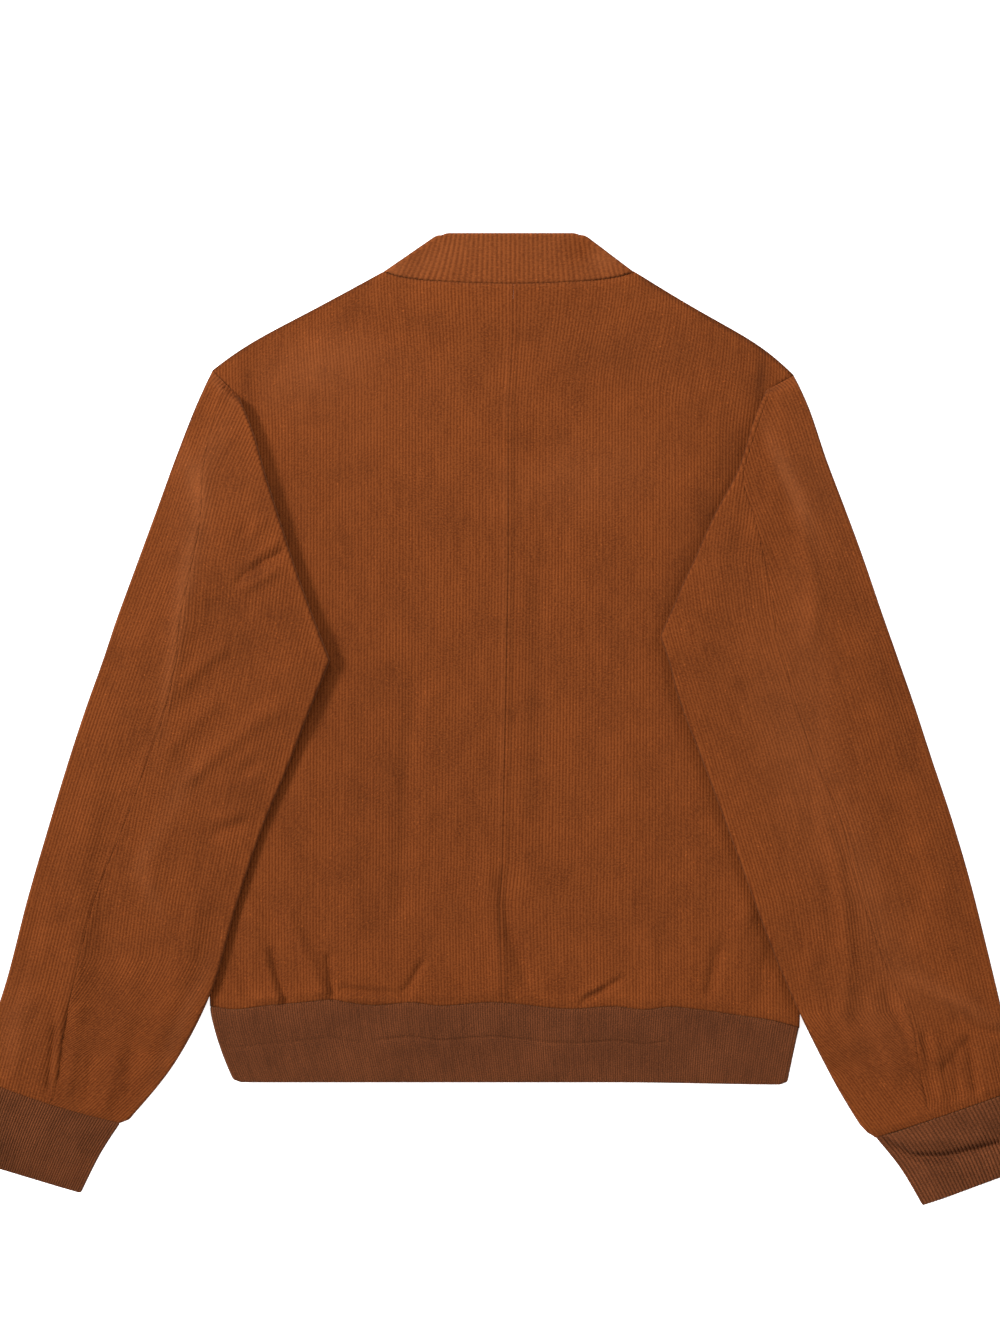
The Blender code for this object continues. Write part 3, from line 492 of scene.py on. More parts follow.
# %% [markdown]
# ## Sewing a skin
# A piece of cloth is a grid: one way it crosses its wales or ribs, the other way it steps down the
# garment. Its middle surface is worked out on an even grid first, with the distance walked across it and
# the count of its wales. Then the fine columns of the outer skin are laid along the wales themselves, so
# a wale always runs between the same columns, and those that would fall past a seam stop on it, which is
# how a real cut ends them. Beside a sharp fold the columns follow the fold instead, to keep it clean, and
# the material alone draws the wales over it. The inside is plain and needs few faces.

# %% Reading a grid with a ruler
COLUMNS_A_WALE = 4
FOLD_COLUMNS = 17  # columns across a sharp fold
RIM_SHADE, RIM_RUN = 2.0, 1.2  # painted shade along a turned or cut edge, and how far in it reaches
RIM_LEAN, RIM_BLEND = 0.92, 0.5  # cloth whose normal is less upright than the first gets painted shade
RIM_START = 6.0  # millimetres over which the painted shade of a border sets in
SHRUNK = 0.01  # columns nearer than this are one


def read_at(ruler, channel, marks):
    """channel where each row's ruler shows the marks. The rows are set end to end, each one pushed
    past the one before it, so that one reading serves them all."""
    low = ruler.min() - 1.0
    span = ruler.max() + 1.0 - low
    push = np.arange(ruler.shape[1]) * span
    at = (ruler - low + push).T.ravel()
    return np.interp((marks - low + push).T.ravel(), at, channel.T.ravel()).reshape(marks.T.shape).T


def wale_columns(grid, pitch, turns=(), hidden=np.inf):
    """How far across each row every fine column lies. In a field between two folds they follow the
    wales, COLUMNS_A_WALE to each and half as many from the field counted as hidden on. turns are the
    folds, as the distance across each row and a half width: there the columns follow the fold."""
    walk, grain = grid["walk"], grid["grain"]
    limits = [walk[0], *[edge for at, half in turns for edge in (at - half, at + half)], walk[-1]]
    columns = []
    for field in range(len(turns) + 1):
        start, end = limits[2 * field], limits[2 * field + 1]
        step = pitch / COLUMNS_A_WALE * (2 if field >= hidden else 1)
        low, high = (read_at(walk, grain, edge[None])[0] for edge in (start, end))
        marks = np.arange(math.floor(low.min() / step), math.ceil(high.max() / step) + 1) * step
        marks = np.clip(marks[:, None], low, high)
        columns.append(np.clip(read_at(grain, walk, marks), start, end))
        if field < len(turns):
            at, half = turns[field]
            columns.append(at + np.linspace(-1, 1, FOLD_COLUMNS)[:, None] * half)
    return np.concatenate(columns)


# %% Faces of a grid


def walked_over(points):
    """Distances walked across and down a grid of points, from its first column and its first row."""
    across = np.linalg.norm(np.diff(points, axis=0), axis=-1)
    down = np.linalg.norm(np.diff(points, axis=1), axis=-1)
    return (
        np.concatenate([np.zeros((1, points.shape[1])), np.cumsum(across, axis=0)]),
        np.concatenate([np.zeros((len(points), 1)), np.cumsum(down, axis=1)], axis=1),
    )


def grid_faces(numbers):
    """The cells of a grid of vertex numbers. A cell that has shrunk to a triangle on a seam gives
    that triangle, and one that has shrunk to a line gives nothing."""
    a, b, c, d = numbers[:-1, :-1], numbers[1:, :-1], numbers[1:, 1:], numbers[:-1, 1:]
    cells = np.stack([a, b, c, d], axis=-1).reshape(-1, 4)
    start, end = cells[:, 0] == cells[:, 1], cells[:, 2] == cells[:, 3]
    return [cells[~start & ~end], cells[start & ~end][:, [0, 2, 3]], cells[~start & end][:, :3]]


def lace(first, first_at, second, second_at):
    """Triangles between two rows of vertex numbers whose places along the edge are given."""
    faces = []
    i = j = 0
    while i < len(first) - 1 or j < len(second) - 1:
        if j == len(second) - 1 or (i < len(first) - 1 and first_at[i + 1] <= second_at[j + 1]):
            faces.append((first[i], first[i + 1], second[j]))
            i += 1
        else:
            faces.append((first[i], second[j + 1], second[j]))
            j += 1
    return np.array(faces)


# %% One closed skin


def squared(lean, points, square):
    """Slides each step off the surface along the grid's columns until it has no part along square, the
    way that its rows look. The surface stays the same, and its ends stay on their seams."""
    along = np.gradient(points, axis=1)
    along /= np.maximum(np.linalg.norm(along, axis=-1, keepdims=True), 1e-9)
    slide = (lean * square).sum(axis=-1) / np.maximum((along * square).sum(axis=-1), 0.3)
    return lean - along * slide[..., None]


def skin(name, grid, columns, pitch, thickness, relief, nap_and_painted_shading, outward=1, rims=(), step=(4, 4), closed=False):
    """Makes the closed mesh of one piece. grid holds its middle surface, "points", across by down, with
    "walk", the distance across it, "grain", the distance across its wales, "down" and "up", the
    distances to its first and last rows, "square", the way its rows look, and "stand", the share of
    the relief that it keeps. The outer skin is at half the thickness plus relief, and the inner one at
    half the thickness. Cloth that turns under gets painted shade in its colour, and so do the borders
    in rims, from a distance from the middle on."""
    points, walk = grid["points"], grid["walk"]
    if closed:
        across = np.gradient(np.concatenate([points[-2:-1], points, points[1:2]]), axis=0)[1:-1]
    else:
        across = np.gradient(points, axis=0)
    normal = np.cross(across, np.gradient(points, axis=1))
    normal /= np.maximum(np.linalg.norm(normal, axis=-1, keepdims=True), 1e-9)
    way = outward * np.sign(normal[0, :, 2].sum())
    normal *= way

    place = np.stack([read_at(walk, points[..., k], columns) for k in range(3)], axis=-1)
    lean = np.stack([read_at(walk, normal[..., k], columns) for k in range(3)], axis=-1)
    lean /= np.linalg.norm(lean, axis=-1, keepdims=True)
    painted_rim_shade = smooth((RIM_LEAN - np.abs(lean[..., 2])) / RIM_BLEND)
    normal, lean = squared(normal, points, grid["square"]), squared(lean, place, grid["square"])
    grain, down, up, stand = (read_at(walk, grid[key], columns) for key in ("grain", "down", "up", "stand"))
    borders = [columns - walk[0], walk[-1] - columns, down, up]
    height = relief(grain / pitch, stand, borders, place)
    for border, start in rims:
        there = smooth((np.abs(place[..., 0] - CENTRE_X) - start) / RIM_START)
        painted_rim_shade = np.maximum(painted_rim_shade, there * np.exp(-((borders[border] / RIM_RUN) ** 2)))
    outer = place + lean * (thickness / 2 + height)[..., None]
    outer[..., 2] = np.maximum(outer[..., 2], 0.0)
    pick = np.ix_(
        np.unique(np.r_[0 : len(points) : step[0], len(points) - 1]),
        np.unique(np.r_[0 : points.shape[1] : step[1], points.shape[1] - 1]),
    )
    inner = points[pick] - normal[pick] * thickness / 2

    count = points.shape[1]
    apart = np.diff(columns, axis=0, prepend=columns[:1] - 1) > SHRUNK
    column = np.maximum.accumulate(np.where(apart, np.arange(len(columns))[:, None], 0))
    outer_numbers = column * count + np.arange(count)
    inner_numbers = outer_numbers.size + np.arange(inner[..., 0].size).reshape(inner.shape[:2])
    if closed:
        outer_numbers[-1], inner_numbers[-1] = outer_numbers[0], inner_numbers[0]
    cloth = grid_faces(outer_numbers) + [faces[:, ::-1] for faces in grid_faces(inner_numbers)]
    strips = []
    for row, turn in ((0, -1), (-1, 1)):
        own = np.flatnonzero(apart[:, row])
        inner_at = walk[pick[0][:, 0], row]
        strip = lace(outer_numbers[own, row], columns[own, row], inner_numbers[:, row], inner_at)
        strips.append(strip[:, ::turn])
    if not closed:
        for end, turn in ((0, 1), (-1, -1)):
            strip = lace(outer_numbers[end], np.arange(count), inner_numbers[end], pick[1][0])
            strips.append(strip[:, ::turn])
    faces = [array[:, :: int(way)] for array in cloth + strips]

    used = np.unique(np.concatenate([array.ravel() for array in faces]))
    renumber = np.zeros(used.max() + 1, int)
    renumber[used] = np.arange(len(used))
    vertices = np.concatenate([outer.reshape(-1, 3), inner.reshape(-1, 3)])[used] * MM
    mesh = bpy.data.meshes.new(name)
    mesh.from_pydata(vertices.tolist(), [], [f for array in faces for f in renumber[array].tolist()])
    soft = np.zeros(len(mesh.polygons), bool)
    soft[: sum(len(array) for array in cloth)] = True
    mesh.polygons.foreach_set("use_smooth", soft)

    corner = np.empty(len(mesh.loops), int)
    mesh.loops.foreach_get("vertex_index", corner)
    across_at = np.concatenate([grain.ravel(), grid["grain"][pick].ravel()])[used] / pitch
    down_at = np.concatenate([down.ravel(), grid["down"][pick].ravel()])[used]
    uv = np.stack([across_at, down_at], axis=-1)[corner]
    mesh.uv_layers.new(name="cloth").uv.foreach_set("vector", uv.astype(np.float32).ravel())
    # Each outer point's value: the patches of nap and painted shading, less the painted shade of turned cloth
    # and of the borders in rims.
    wear_and_shading = np.concatenate([(nap_and_painted_shading(place) - RIM_SHADE * painted_rim_shade).ravel(), np.zeros(inner[..., 0].size)])[used]
    shade = mesh.attributes.new("nap_and_painted_shading", "FLOAT", "POINT")
    shade.data.foreach_set("value", wear_and_shading.astype(np.float32))
    mesh.update()
    piece = bpy.data.objects.new(name + "_cloth", mesh)
    bpy.context.scene.collection.objects.link(piece)
    mesh.calc_loop_triangles()
    print(name, len(mesh.loop_triangles), "triangles,", len(columns), "columns")
    return piece


# %% [markdown]
# ## What stands on the cloth
# A wale is a round cord of pile a fifth to half a millimetre high, with a narrow bare valley beside it.
# Near a seam the cloth is pulled down into the stitches, and where the seam's allowance lies under it,
# it stands up again in a soft ridge. The nap, brushed one way or the other, catches more or less light,
# and the nap tables also paint shadows beside the sleeves and seams and highlights on folds: each row
# of a nap table is one patch, as centre, half lengths, turn in degrees and strength.

# %% Wales, seams and nap
WALE_DEPTH, SLEEVE_WALE_DEPTH, COLLAR_WALE_DEPTH = 0.21, 0.38, 0.55
SEAM_DIP, SOFT_DIP = 0.5, 0.35  # the dip of most seams, and of a softer one
LOST_SHARE = 0.85  # of a seam's dip, where the pile hides it
SEAM_RIDGE = (0, 2.2, 1.7, 0.4)  # the allowance under a long seam lifts the cloth there


def wales(depth, rolls, ridges=(), lost=()):
    """Relief in millimetres: -depth in a valley, 0 along the top of a wale, and at each of the four
    borders an even dip, given as (run, depth). A ridge is (border, distance, half width, height). lost
    holds (border, height, run): from that height up, over the run, the border's dip nearly goes."""

    def relief(count, stand, borders, place):
        height = -depth * stand * (1 - np.abs(np.sin(np.pi * count)))
        shown = [1.0] * 4
        for border, start, run in lost:
            shown[border] = 1 - LOST_SHARE * smooth((place[..., 1] - start) / run)
        for border, (run, dip), share in zip(borders, rolls, shown):
            height = height - dip * share * np.clip(1 - border / run, 0, 1) ** 2
        for border, distance, width, rise in ridges:
            height = height + rise * np.exp(-(((borders[border] - distance) / width) ** 2))
        return height

    return relief


def nap_and_shading(table):
    """Nap and painted shading, above 0 where it is pale: the sum of soft patches strength
    exp(-(x/a)^2 - (y/b)^2), each turned about its centre. Besides real nap, the tables hold painted
    shadows below 0 and painted highlights above 0."""

    def nap_and_painted_shading(place):
        value = np.zeros(place.shape[:-1])
        for x, y, half_x, half_y, turn, strength in table:
            cos, sin = math.cos(math.radians(turn)), math.sin(math.radians(turn))
            along = (place[..., 0] - x) * cos + (place[..., 1] - y) * sin
            aside = (place[..., 1] - y) * cos - (place[..., 0] - x) * sin
            value += strength * np.exp(-((along / half_x) ** 2) - (aside / half_y) ** 2)
        return value

    return nap_and_painted_shading


# %% [markdown]
# ## The body panels
# Two backs meet in a shaped seam down the middle, and two fronts lie under them, edge to edge. Their
# rows run between the hem seam and the neck and shoulder, and end on the armhole or the side.

# %% Grid of a panel


def panel(side, drop, level, middle_x, eased, hem_gap, grain_of, counts):
    """Rows y = hem + v (top - hem) for v from 1 down to 0, from the middle line to where each row
    meets the armhole or the side, with x even along them."""
    across, *runs = counts
    v = spread(*runs)
    down = len(v)
    edge = np.concatenate([armhole_line(side), side_line(side)])
    low, high = hem_seam_y(edge[:, 0], eased) + hem_gap, top_edge(side, edge[:, 0], drop)
    share = (edge[:, 1] - low) / (high - low)
    share[0], share[-1] = 1.0, 0.0
    side_x = np.interp(v, share[::-1], edge[::-1, 0]) - sign_of(side) * SEAM / 2
    x = np.full(down, NECK_X)
    for _ in range(4):  # the seam's x depends on y, and y on x, so a few turns settle them
        bottom = hem_seam_y(x, eased) + hem_gap
        y = bottom + v * (top_edge(side, x, drop) - SEAM / 2 - bottom)
        x = middle_x(y) + sign_of(side) * SEAM / 2
    x = x + np.linspace(0, 1, across)[:, None] * (side_x - x)
    bottom = hem_seam_y(x, eased) + hem_gap
    top = top_edge(side, x, drop) - SEAM / 2
    y = bottom + v * (top - bottom)
    return {
        "points": np.stack([x, y, level(x, y)], axis=-1),
        "walk": np.abs(x - x[0]),
        "grain": grain_of(x, y, top) * sign_of(side),
        "down": top - y,
        "up": y - bottom,
        "square": np.array([0.0, -1.0, 0.0]),
        "stand": np.ones_like(x),
    }


PUSH_RUN = 60.0  # the middle seam's bends push the wales aside, and over this run that dies away
FAN = {"left": 0.09, "right": 0.22}  # share of the count that is lost at the neck, so wales stand wider
FAN_DOWN, FAN_ACROSS = 95.0, 150.0


def fanned(x, y, top):
    """Wale lines of the back: x, less what the middle seam pushes them aside, and fanned apart towards
    the neck, where the lines of an even count lie further from the middle."""
    pushed = (centre_seam_x(y) - CENTRE_X) * np.exp(-np.abs(x - CENTRE_X) / PUSH_RUN)
    from_middle = x - CENTRE_X - pushed
    most = np.where(from_middle > 0, FAN["right"], FAN["left"])
    reach = most * (1 - smooth((top - y) / FAN_DOWN))
    return from_middle - reach * from_middle * np.exp(-((from_middle / FAN_ACROSS) ** 2))


# %% The backs and fronts
# Patches of the back. Besides real nap, the dark ones beside the sleeves' inner edges and the shoulders are
# painted shadow, one by the right shoulder is a painted crease with a painted highlight next to it, and the
# narrow pair along the centre seam paints its lit left side and its shaded right side.
BACK_NAP_AND_SHADING = (
    (-150, 290, 60, 26, 25, 0.5),
    (90, 300, 60, 20, -22, -0.6),
    (190, 300, 50, 24, -25, -0.5),
    (-60, 320, 60, 16, 0, -0.3),
    (16, 228, 10, 16, 90, -0.7),
    (-170, 120, 26, 90, 12, -0.5),
    (-95, -40, 24, 120, 0, -0.3),
    (30, -10, 8, 120, 0, -0.4),
    (70, 200, 60, 30, 10, 0.3),
    (-60, -230, 60, 8, 0, -0.4),
    (3.2, 90, 260, 2.4, 89.3, 0.25),
    (9.4, 90, 260, 3.0, 89.3, -0.5),
    (-120, 255, 120, 60, 20, 0.12),
    (182, 200, 66, 16, 66, -1.1),
    (-207, 271, 22, 6, 92, -1.0),
    (214, 284, 24, 5, 86, -1.4),
    (227, 286, 14, 6, -40, 0.5),
    (152, 118, 46, 11, 60, -0.5),
)


def straight(x, y, top):
    """Wale lines of the fronts, down the grain."""
    return x


def front_level(x, y):
    """The fronts lie flat on the table."""
    return np.full_like(x, FRONT_LEVEL)


def centre_front_x(y):
    """The closed front, a straight line from the middle of the neck to the middle of the hem."""
    return CENTRE_X + (NECK_X - CENTRE_X) * (y - HEM_SEAM_Y) / (NECK_Y - FRONT_NECK_DROP - HEM_SEAM_Y)


# The back's top border gets painted shade from here outwards, along the shoulders and not the neck.
SHOULDER_RIM = 106.0  # the shoulders start this far from the middle
BACK_GRID = 190, (1, 0.2, 86), (0.2, 0, 64)  # across, and the rows, closer together above the hem
pieces = {}
for side in ("left", "right"):
    grid = panel(side, 0.0, back_level, centre_seam_x, 1.0, SEAM, fanned, BACK_GRID)
    rolls = (1.0, SOFT_DIP), (2.5, SEAM_DIP), (1.0, SOFT_DIP), (1.6, SEAM_DIP)
    lost = ((0, 150, 80), (1, 255, 10)) if side == "left" else ((0, 150, 80),)
    relief = wales(WALE_DEPTH, rolls, (SEAM_RIDGE, (3, 7, 3, 0.7)), lost)
    columns = wale_columns(grid, WALE)
    pieces[f"back_{side}"] = skin(
        f"back_{side}", grid, columns, WALE, CORD, relief, nap_and_shading(BACK_NAP_AND_SHADING), rims=((2, SHOULDER_RIM),)
    )
    grid = panel(
        side, FRONT_NECK_DROP, front_level, centre_front_x, 0.0, SEAM, straight, (60, (1, 0, 59))
    )
    relief = wales(WALE_DEPTH, ((2.2, SEAM_DIP), *rolls[1:]))
    columns = wale_columns(grid, WALE, hidden=0)
    pieces[f"front_{side}"] = skin(
        f"front_{side}", grid, columns, WALE, CORD, relief, nap_and_shading(()), outward=-1
    )

# %% [markdown]
# ## The sleeves
# A two-piece sleeve lies flattened over the side of the body. The top piece wraps the outer edge, and the
# under piece wraps the inner one. They meet in the hind-arm seam, which shows down the middle of the
# sleeve. Both start at the armhole, where the cap is still open, and end at the cuff.

# %% Sections of a sleeve


def sleeve_section(side, v):
    """The section at v, counted in rows: its ends and width, and the distances from the outer end of
    the hind-arm seam, the lower seam and the body's edge."""
    outer, inner = sleeve_ends(side, v)
    width = np.linalg.norm(inner - outer, axis=-1)
    under = sleeve_column(side, "under", v) * width
    edge = side_line(side)
    along = (outer[..., 1] + inner[..., 1]) / 2
    edge_x = np.interp(along, edge[::-1, 1], edge[::-1, 0])
    beyond = (edge_x - outer[..., 0]) / (inner[..., 0] - outer[..., 0]) * width
    body = np.where(v <= ARMPIT, under, np.maximum(beyond, under))
    body = body + (2 * width - body) * smooth((edge[-1, 1] - along) / PAST_HEM)
    return {
        "outer": outer,
        "inner": inner,
        "width": width,
        "hind": sleeve_column(side, "hind", v) * width,
        "under": under,
        "body": body,
        "air": np.interp(v, *INNER_AIR[side]),
        "v": v,
    }


def towards_hand(side, outer, inner):
    """The way in the plane that is square to the line from the outer to the inner end, down the sleeve."""
    across = inner - outer
    way = np.stack([across[..., 1], -across[..., 0], np.zeros_like(across[..., 0])], axis=-1) * -sign_of(side)
    return way / np.linalg.norm(way, axis=-1, keepdims=True)


def bowed(side, outer, inner, share, fade):
    """The point at a share of the way from the outer to the inner end, moved towards the hand by
    CUFF_SAG sin(pi share) fade."""
    sag = CUFF_SAG[side] * np.sin(np.pi * np.clip(share, 0, 1)) * fade
    hand = towards_hand(side, outer, inner)[..., :2]
    return outer + share[..., None] * (inner - outer) + hand * sag[..., None]


def along_section(section, s):
    """The point s millimetres from the section's outer end."""
    share = (s / section["width"])[..., None]
    return section["outer"] + share * (section["inner"] - section["outer"])


def lower_level(section, s):
    """The layer that lies on the table and, past the body's edge, on the back."""
    point = along_section(section, s)
    on_body = rest_level(point[..., 0], point[..., 1])
    down = np.clip((section["body"] - SHELF - s) / STEP_DOWN, 0, 1)
    level = on_body + (FRONT_LEVEL - on_body) * down
    sewn = 1 - smooth(section["v"] / CAP_RUN)
    return level + (np.minimum(level, EDGE_LEVEL - 0.4) - level) * sewn


def upper_level(side, section, s):
    """The layer on top: the lower one's height with its step drawn out, plus air, plus the folds. The
    cap comes down to the edge of the back that it is sewn to."""
    point = along_section(section, s)
    over = smooth(1 - (section["body"] - s - STEP_LEAD) / BODY_STEP)
    under = FRONT_LEVEL + (rest_level(point[..., 0], point[..., 1]) - FRONT_LEVEL) * over
    near_edge = np.minimum(s, section["width"] - s)
    inner_share = smooth(s / section["width"] * 2 - 1)
    gap = EDGE_GAP + (section["air"] - EDGE_GAP) * inner_share
    air = gap + SLEEVE_LOFT * smooth(near_edge / LOFT_RUN)
    fold = folds(SLEEVE_FOLDS[side], point[..., 0], point[..., 1]) * smooth(near_edge / FOLD_RUN)
    level = under + CORD + np.maximum(air + fold, EDGE_GAP)
    sewn = 1 - smooth(section["v"] / CAP_RUN)
    return level + (EDGE_LEVEL + 0.1 + 0.5 * s / section["width"] - level) * sewn


# %% Grain of the under sleeves
# Lean of the wales from the sleeve's length, as heights and degrees, down the sleeve.
GRAIN = {
    "left": (
        (290, 200, 130, 81, 0, -80, -150, -195, -240, -275, -335),
        (27, 26, 22, 17, 14, 13, 12, 10, 19, 29, 35),
    ),
    "right": (
        (290, 240, 200, 160, 130, 90, 30, -20, -150, -190, -240, -290, -340),
        (-30, -29, -24, -16, -9, -8, -13, -15, -16, -13, -11, -27, -30),
    ),
}


def grain_ruler(side, x, y):
    """Distance across the wales: (x - line(y)) cos(lean), where line(y) is the path of one wale, the
    running sum of tan(lean)."""
    heights, leans = GRAIN[side]
    steps = np.linspace(-420, 420, 841)
    lean = np.radians(np.interp(steps, heights[::-1], leans[::-1]))
    path = np.cumsum(np.tan(lean))
    across = (x - np.interp(y, steps, path)) * np.cos(np.interp(y, steps, lean))
    return across * -sign_of(side)


# %% Grid of a sleeve piece
FOLD_BAND = 5.0  # width on both sides of a folded edge where the columns follow it


def sleeve_piece(side, name, v, counts):
    """Across: the upper layer from the hind-arm seam to the folded edge, half a turn round the fold,
    and the lower layer back to the lower seam. Down: the sections v."""
    upper, turn, lower = counts
    u = spread((0, 1, upper), (1, 2, turn), (2, 3, lower))
    u, v = np.meshgrid(u, v, indexing="ij")
    section = sleeve_section(side, v)
    radius = (CORD + EDGE_GAP) / 2 + (0.0 if name == "top" else 0.2)
    fold = CORD / 2 + radius
    if name == "top":
        start, way, fold_s = section["hind"] - SEAM / 2, -1, np.full_like(u, fold)
        end = section["under"] - SEAM
    else:
        start, way, fold_s = section["hind"] + SEAM / 2, 1, section["width"] - fold
        end = np.minimum(section["under"], fold_s - 4)
    upper_s = start + (fold_s - start) * np.clip(u, 0, 1)
    lower_s = fold_s + (end - fold_s) * np.clip(u - 2, 0, 1)
    if name == "top":
        low = np.full_like(u, FRONT_LEVEL)
        lower_z = low
    else:
        low, lower_z = lower_level(section, fold_s), lower_level(section, lower_s)
    high = upper_level(side, section, fold_s)
    angle = np.pi * (0.5 - np.clip(u - 1, 0, 1))
    turned_s = fold_s + way * radius * np.cos(angle)
    turned_z = (high + low) / 2 + (high - low) / 2 * np.sin(angle)
    s = np.where(u <= 1, upper_s, np.where(u < 2, turned_s, lower_s))
    z = np.where(u <= 1, upper_level(side, section, upper_s), np.where(u < 2, turned_z, lower_z))
    last = smooth((v - v.max() + 2) / 2)
    point = bowed(side, section["outer"], section["inner"], s / section["width"], last)
    outer, inner = sleeve_ends(side, np.array([0.0, v.max()]))
    for row, fade in ((0, np.clip(1 - v, 0, 1)), (1, np.clip(v - v.max() + 1, 0, 1))):
        across = inner[row] - outer[row]
        off = np.array([across[1], -across[0]]) * -sign_of(side) * (1 - 2 * row)
        point = point + off / np.linalg.norm(off) * SEAM * fade[..., None]
    points = np.concatenate([point, z[..., None]], axis=-1)

    walked, down = walked_over(points)
    middle = walked[upper + turn // 2]
    if name == "top":
        way_down = np.gradient(section["outer"][0], axis=0)
        way_down /= np.linalg.norm(way_down, axis=-1, keepdims=True)
        way_across = (section["inner"] - section["outer"])[0] / section["width"][0][:, None]
        scale = np.abs(way_down[:, 0] * way_across[:, 1] - way_down[:, 1] * way_across[:, 0])
        grain = scale * (walked - middle)
    else:
        flat = grain_ruler(side, point[..., 0], point[..., 1])
        scale = (flat[upper] - flat[0]) / (walked[upper] - walked[0])
        grain = np.where(u <= 1, flat, flat[upper] + scale * (walked - walked[upper]))
    return {
        "points": points,
        "walk": walked,
        "grain": grain,
        "down": down,
        "up": down[:, -1:] - down,
        "square": towards_hand(side, section["outer"][0], section["inner"][0]),
        "stand": smooth((np.abs(walked - middle) - FOLD_BAND) / 6),
        "turn": (middle, np.minimum(FOLD_BAND, (middle - walked[0]) * 0.8)),
    }


# %% The four sleeve pieces
# Patches of the sleeves. Besides real nap, they paint highlights along fold ridges and across the left
# shoulder seam, shade beside creases, and the right sleeve's upper part lighter where its surface slopes away
# from the window light.
SLEEVE_NAP_AND_SHADING = {
    "left": (
        (-251, 196, 32, 8, 109, 0.6),
        (-256, 122, 58, 8, 80.5, 0.85),
        (-272, 30, 44, 6, 80, 0.5),
        (-235, 180, 60, 40, 70, 0.15),
        (-316, -235, 50, 34, 70, -0.4),
        (-238, 216, 10, 40, -25, 0.4),
        (-226, 272, 18, 5, -43, 0.7),
        (-200, 120, 12, 40, 30, -0.6),
        (-227, 92, 18, 10, 0, -0.8),
        (-218, 60, 30, 12, 30, -0.6),
        (-290, -110, 24, 7, 60, 0.4),
        (-286, -142, 24, 7, 110, 0.4),
        (-262, -60, 30, 10, 60, 0.4),
        (-215, -60, 20, 10, 60, -0.6),
        (-262, -250, 60, 7, 65, 0.6),
        (-400, -250, 20, 40, 0, 0.4),
    ),
    "right": (
        (250, 80, 16, 80, 8, 0.3),
        (210, 200, 20, 60, 20, -0.4),
        (236, 196, 8, 50, 25, 0.8),
        (262, 200, 70, 36, -70, 0.28),
        (244, -30, 110, 34, -72, 0.4),
        (305, -245, 40, 30, -60, 0.3),
        (330, -200, 20, 60, 15, 0.25),
        (374, -232, 42, 9, -30, 0.5),
        (366, -280, 26, 14, 20, -0.6),
        (300, -140, 14, 60, 12, 0.35),
    ),
}
HIND_DIP = {"left": 0.3, "right": 0.18}
SEAMS_LOST = {"left": ((0, -60, 90), (2, 250, 10)), "right": ((0, 10, 60),)}
for side in ("left", "right"):
    rows = len(SLEEVE_ROWS[side]) - 1
    v = spread((0, 1, 20), (1, 6, 75), (6, rows - 1, 15 * (rows - 7)), (rows - 1, rows, 26))
    for name, counts in (("top", (50, 10, 20)), ("under", (90, 10, 50))):
        grid = sleeve_piece(side, name, v, counts)
        columns = wale_columns(grid, WALE, [grid["turn"]], hidden=1)
        rolls = (1.1, HIND_DIP[side]), (1.5, SEAM_DIP), (1.0, SOFT_DIP), (2.0, SEAM_DIP)
        relief = wales(SLEEVE_WALE_DEPTH, rolls, (SEAM_RIDGE, (3, 7, 3, 0.6)), SEAMS_LOST[side])
        pieces[f"sleeve_{side}_{name}"] = skin(
            f"sleeve_{side}_{name}", grid, columns, WALE, CORD, relief, nap_and_shading(SLEEVE_NAP_AND_SHADING[side])
        )

# %% [markdown]
# ## Knit cuffs and hem band
# Both are one strip of rib knit, folded in half and sewn on by its raw edges, so each is a double layer
# with a folded lower edge. The ribs stand side by side all round, finer than the wales except on the
# right cuff, which is pulled wide.

# %% Knit tubes
RIB_DEPTH = {"left": 0.9, "right": 1.3, "hem": 0.42}
CUFF_NAP = ((0, -350, 900, 200, 0, 0.35),)  # the cuffs are rubbed a little paler than the band


def ribs(depth, rolls, lines=()):
    """Relief in millimetres: rounded ribs, a dip at the seams, and the lines of (distance down, start
    x, end x, half width, depth) that are pressed or stitched across."""

    def relief(count, stand, borders, place):
        height = -depth * stand * (0.5 + 0.5 * np.cos(2 * np.pi * count))
        for border, roll in zip(borders, rolls):
            if roll:
                height = height - SEAM_DIP * np.clip(1 - border / roll, 0, 1) ** 2
        for distance, start, end, width, sunk in lines:
            there = smooth((place[..., 0] - start) / 12) * smooth((end - place[..., 0]) / 12)
            height = height - sunk * there * np.exp(-(((borders[2] - distance) / width) ** 2))
        return height

    return relief


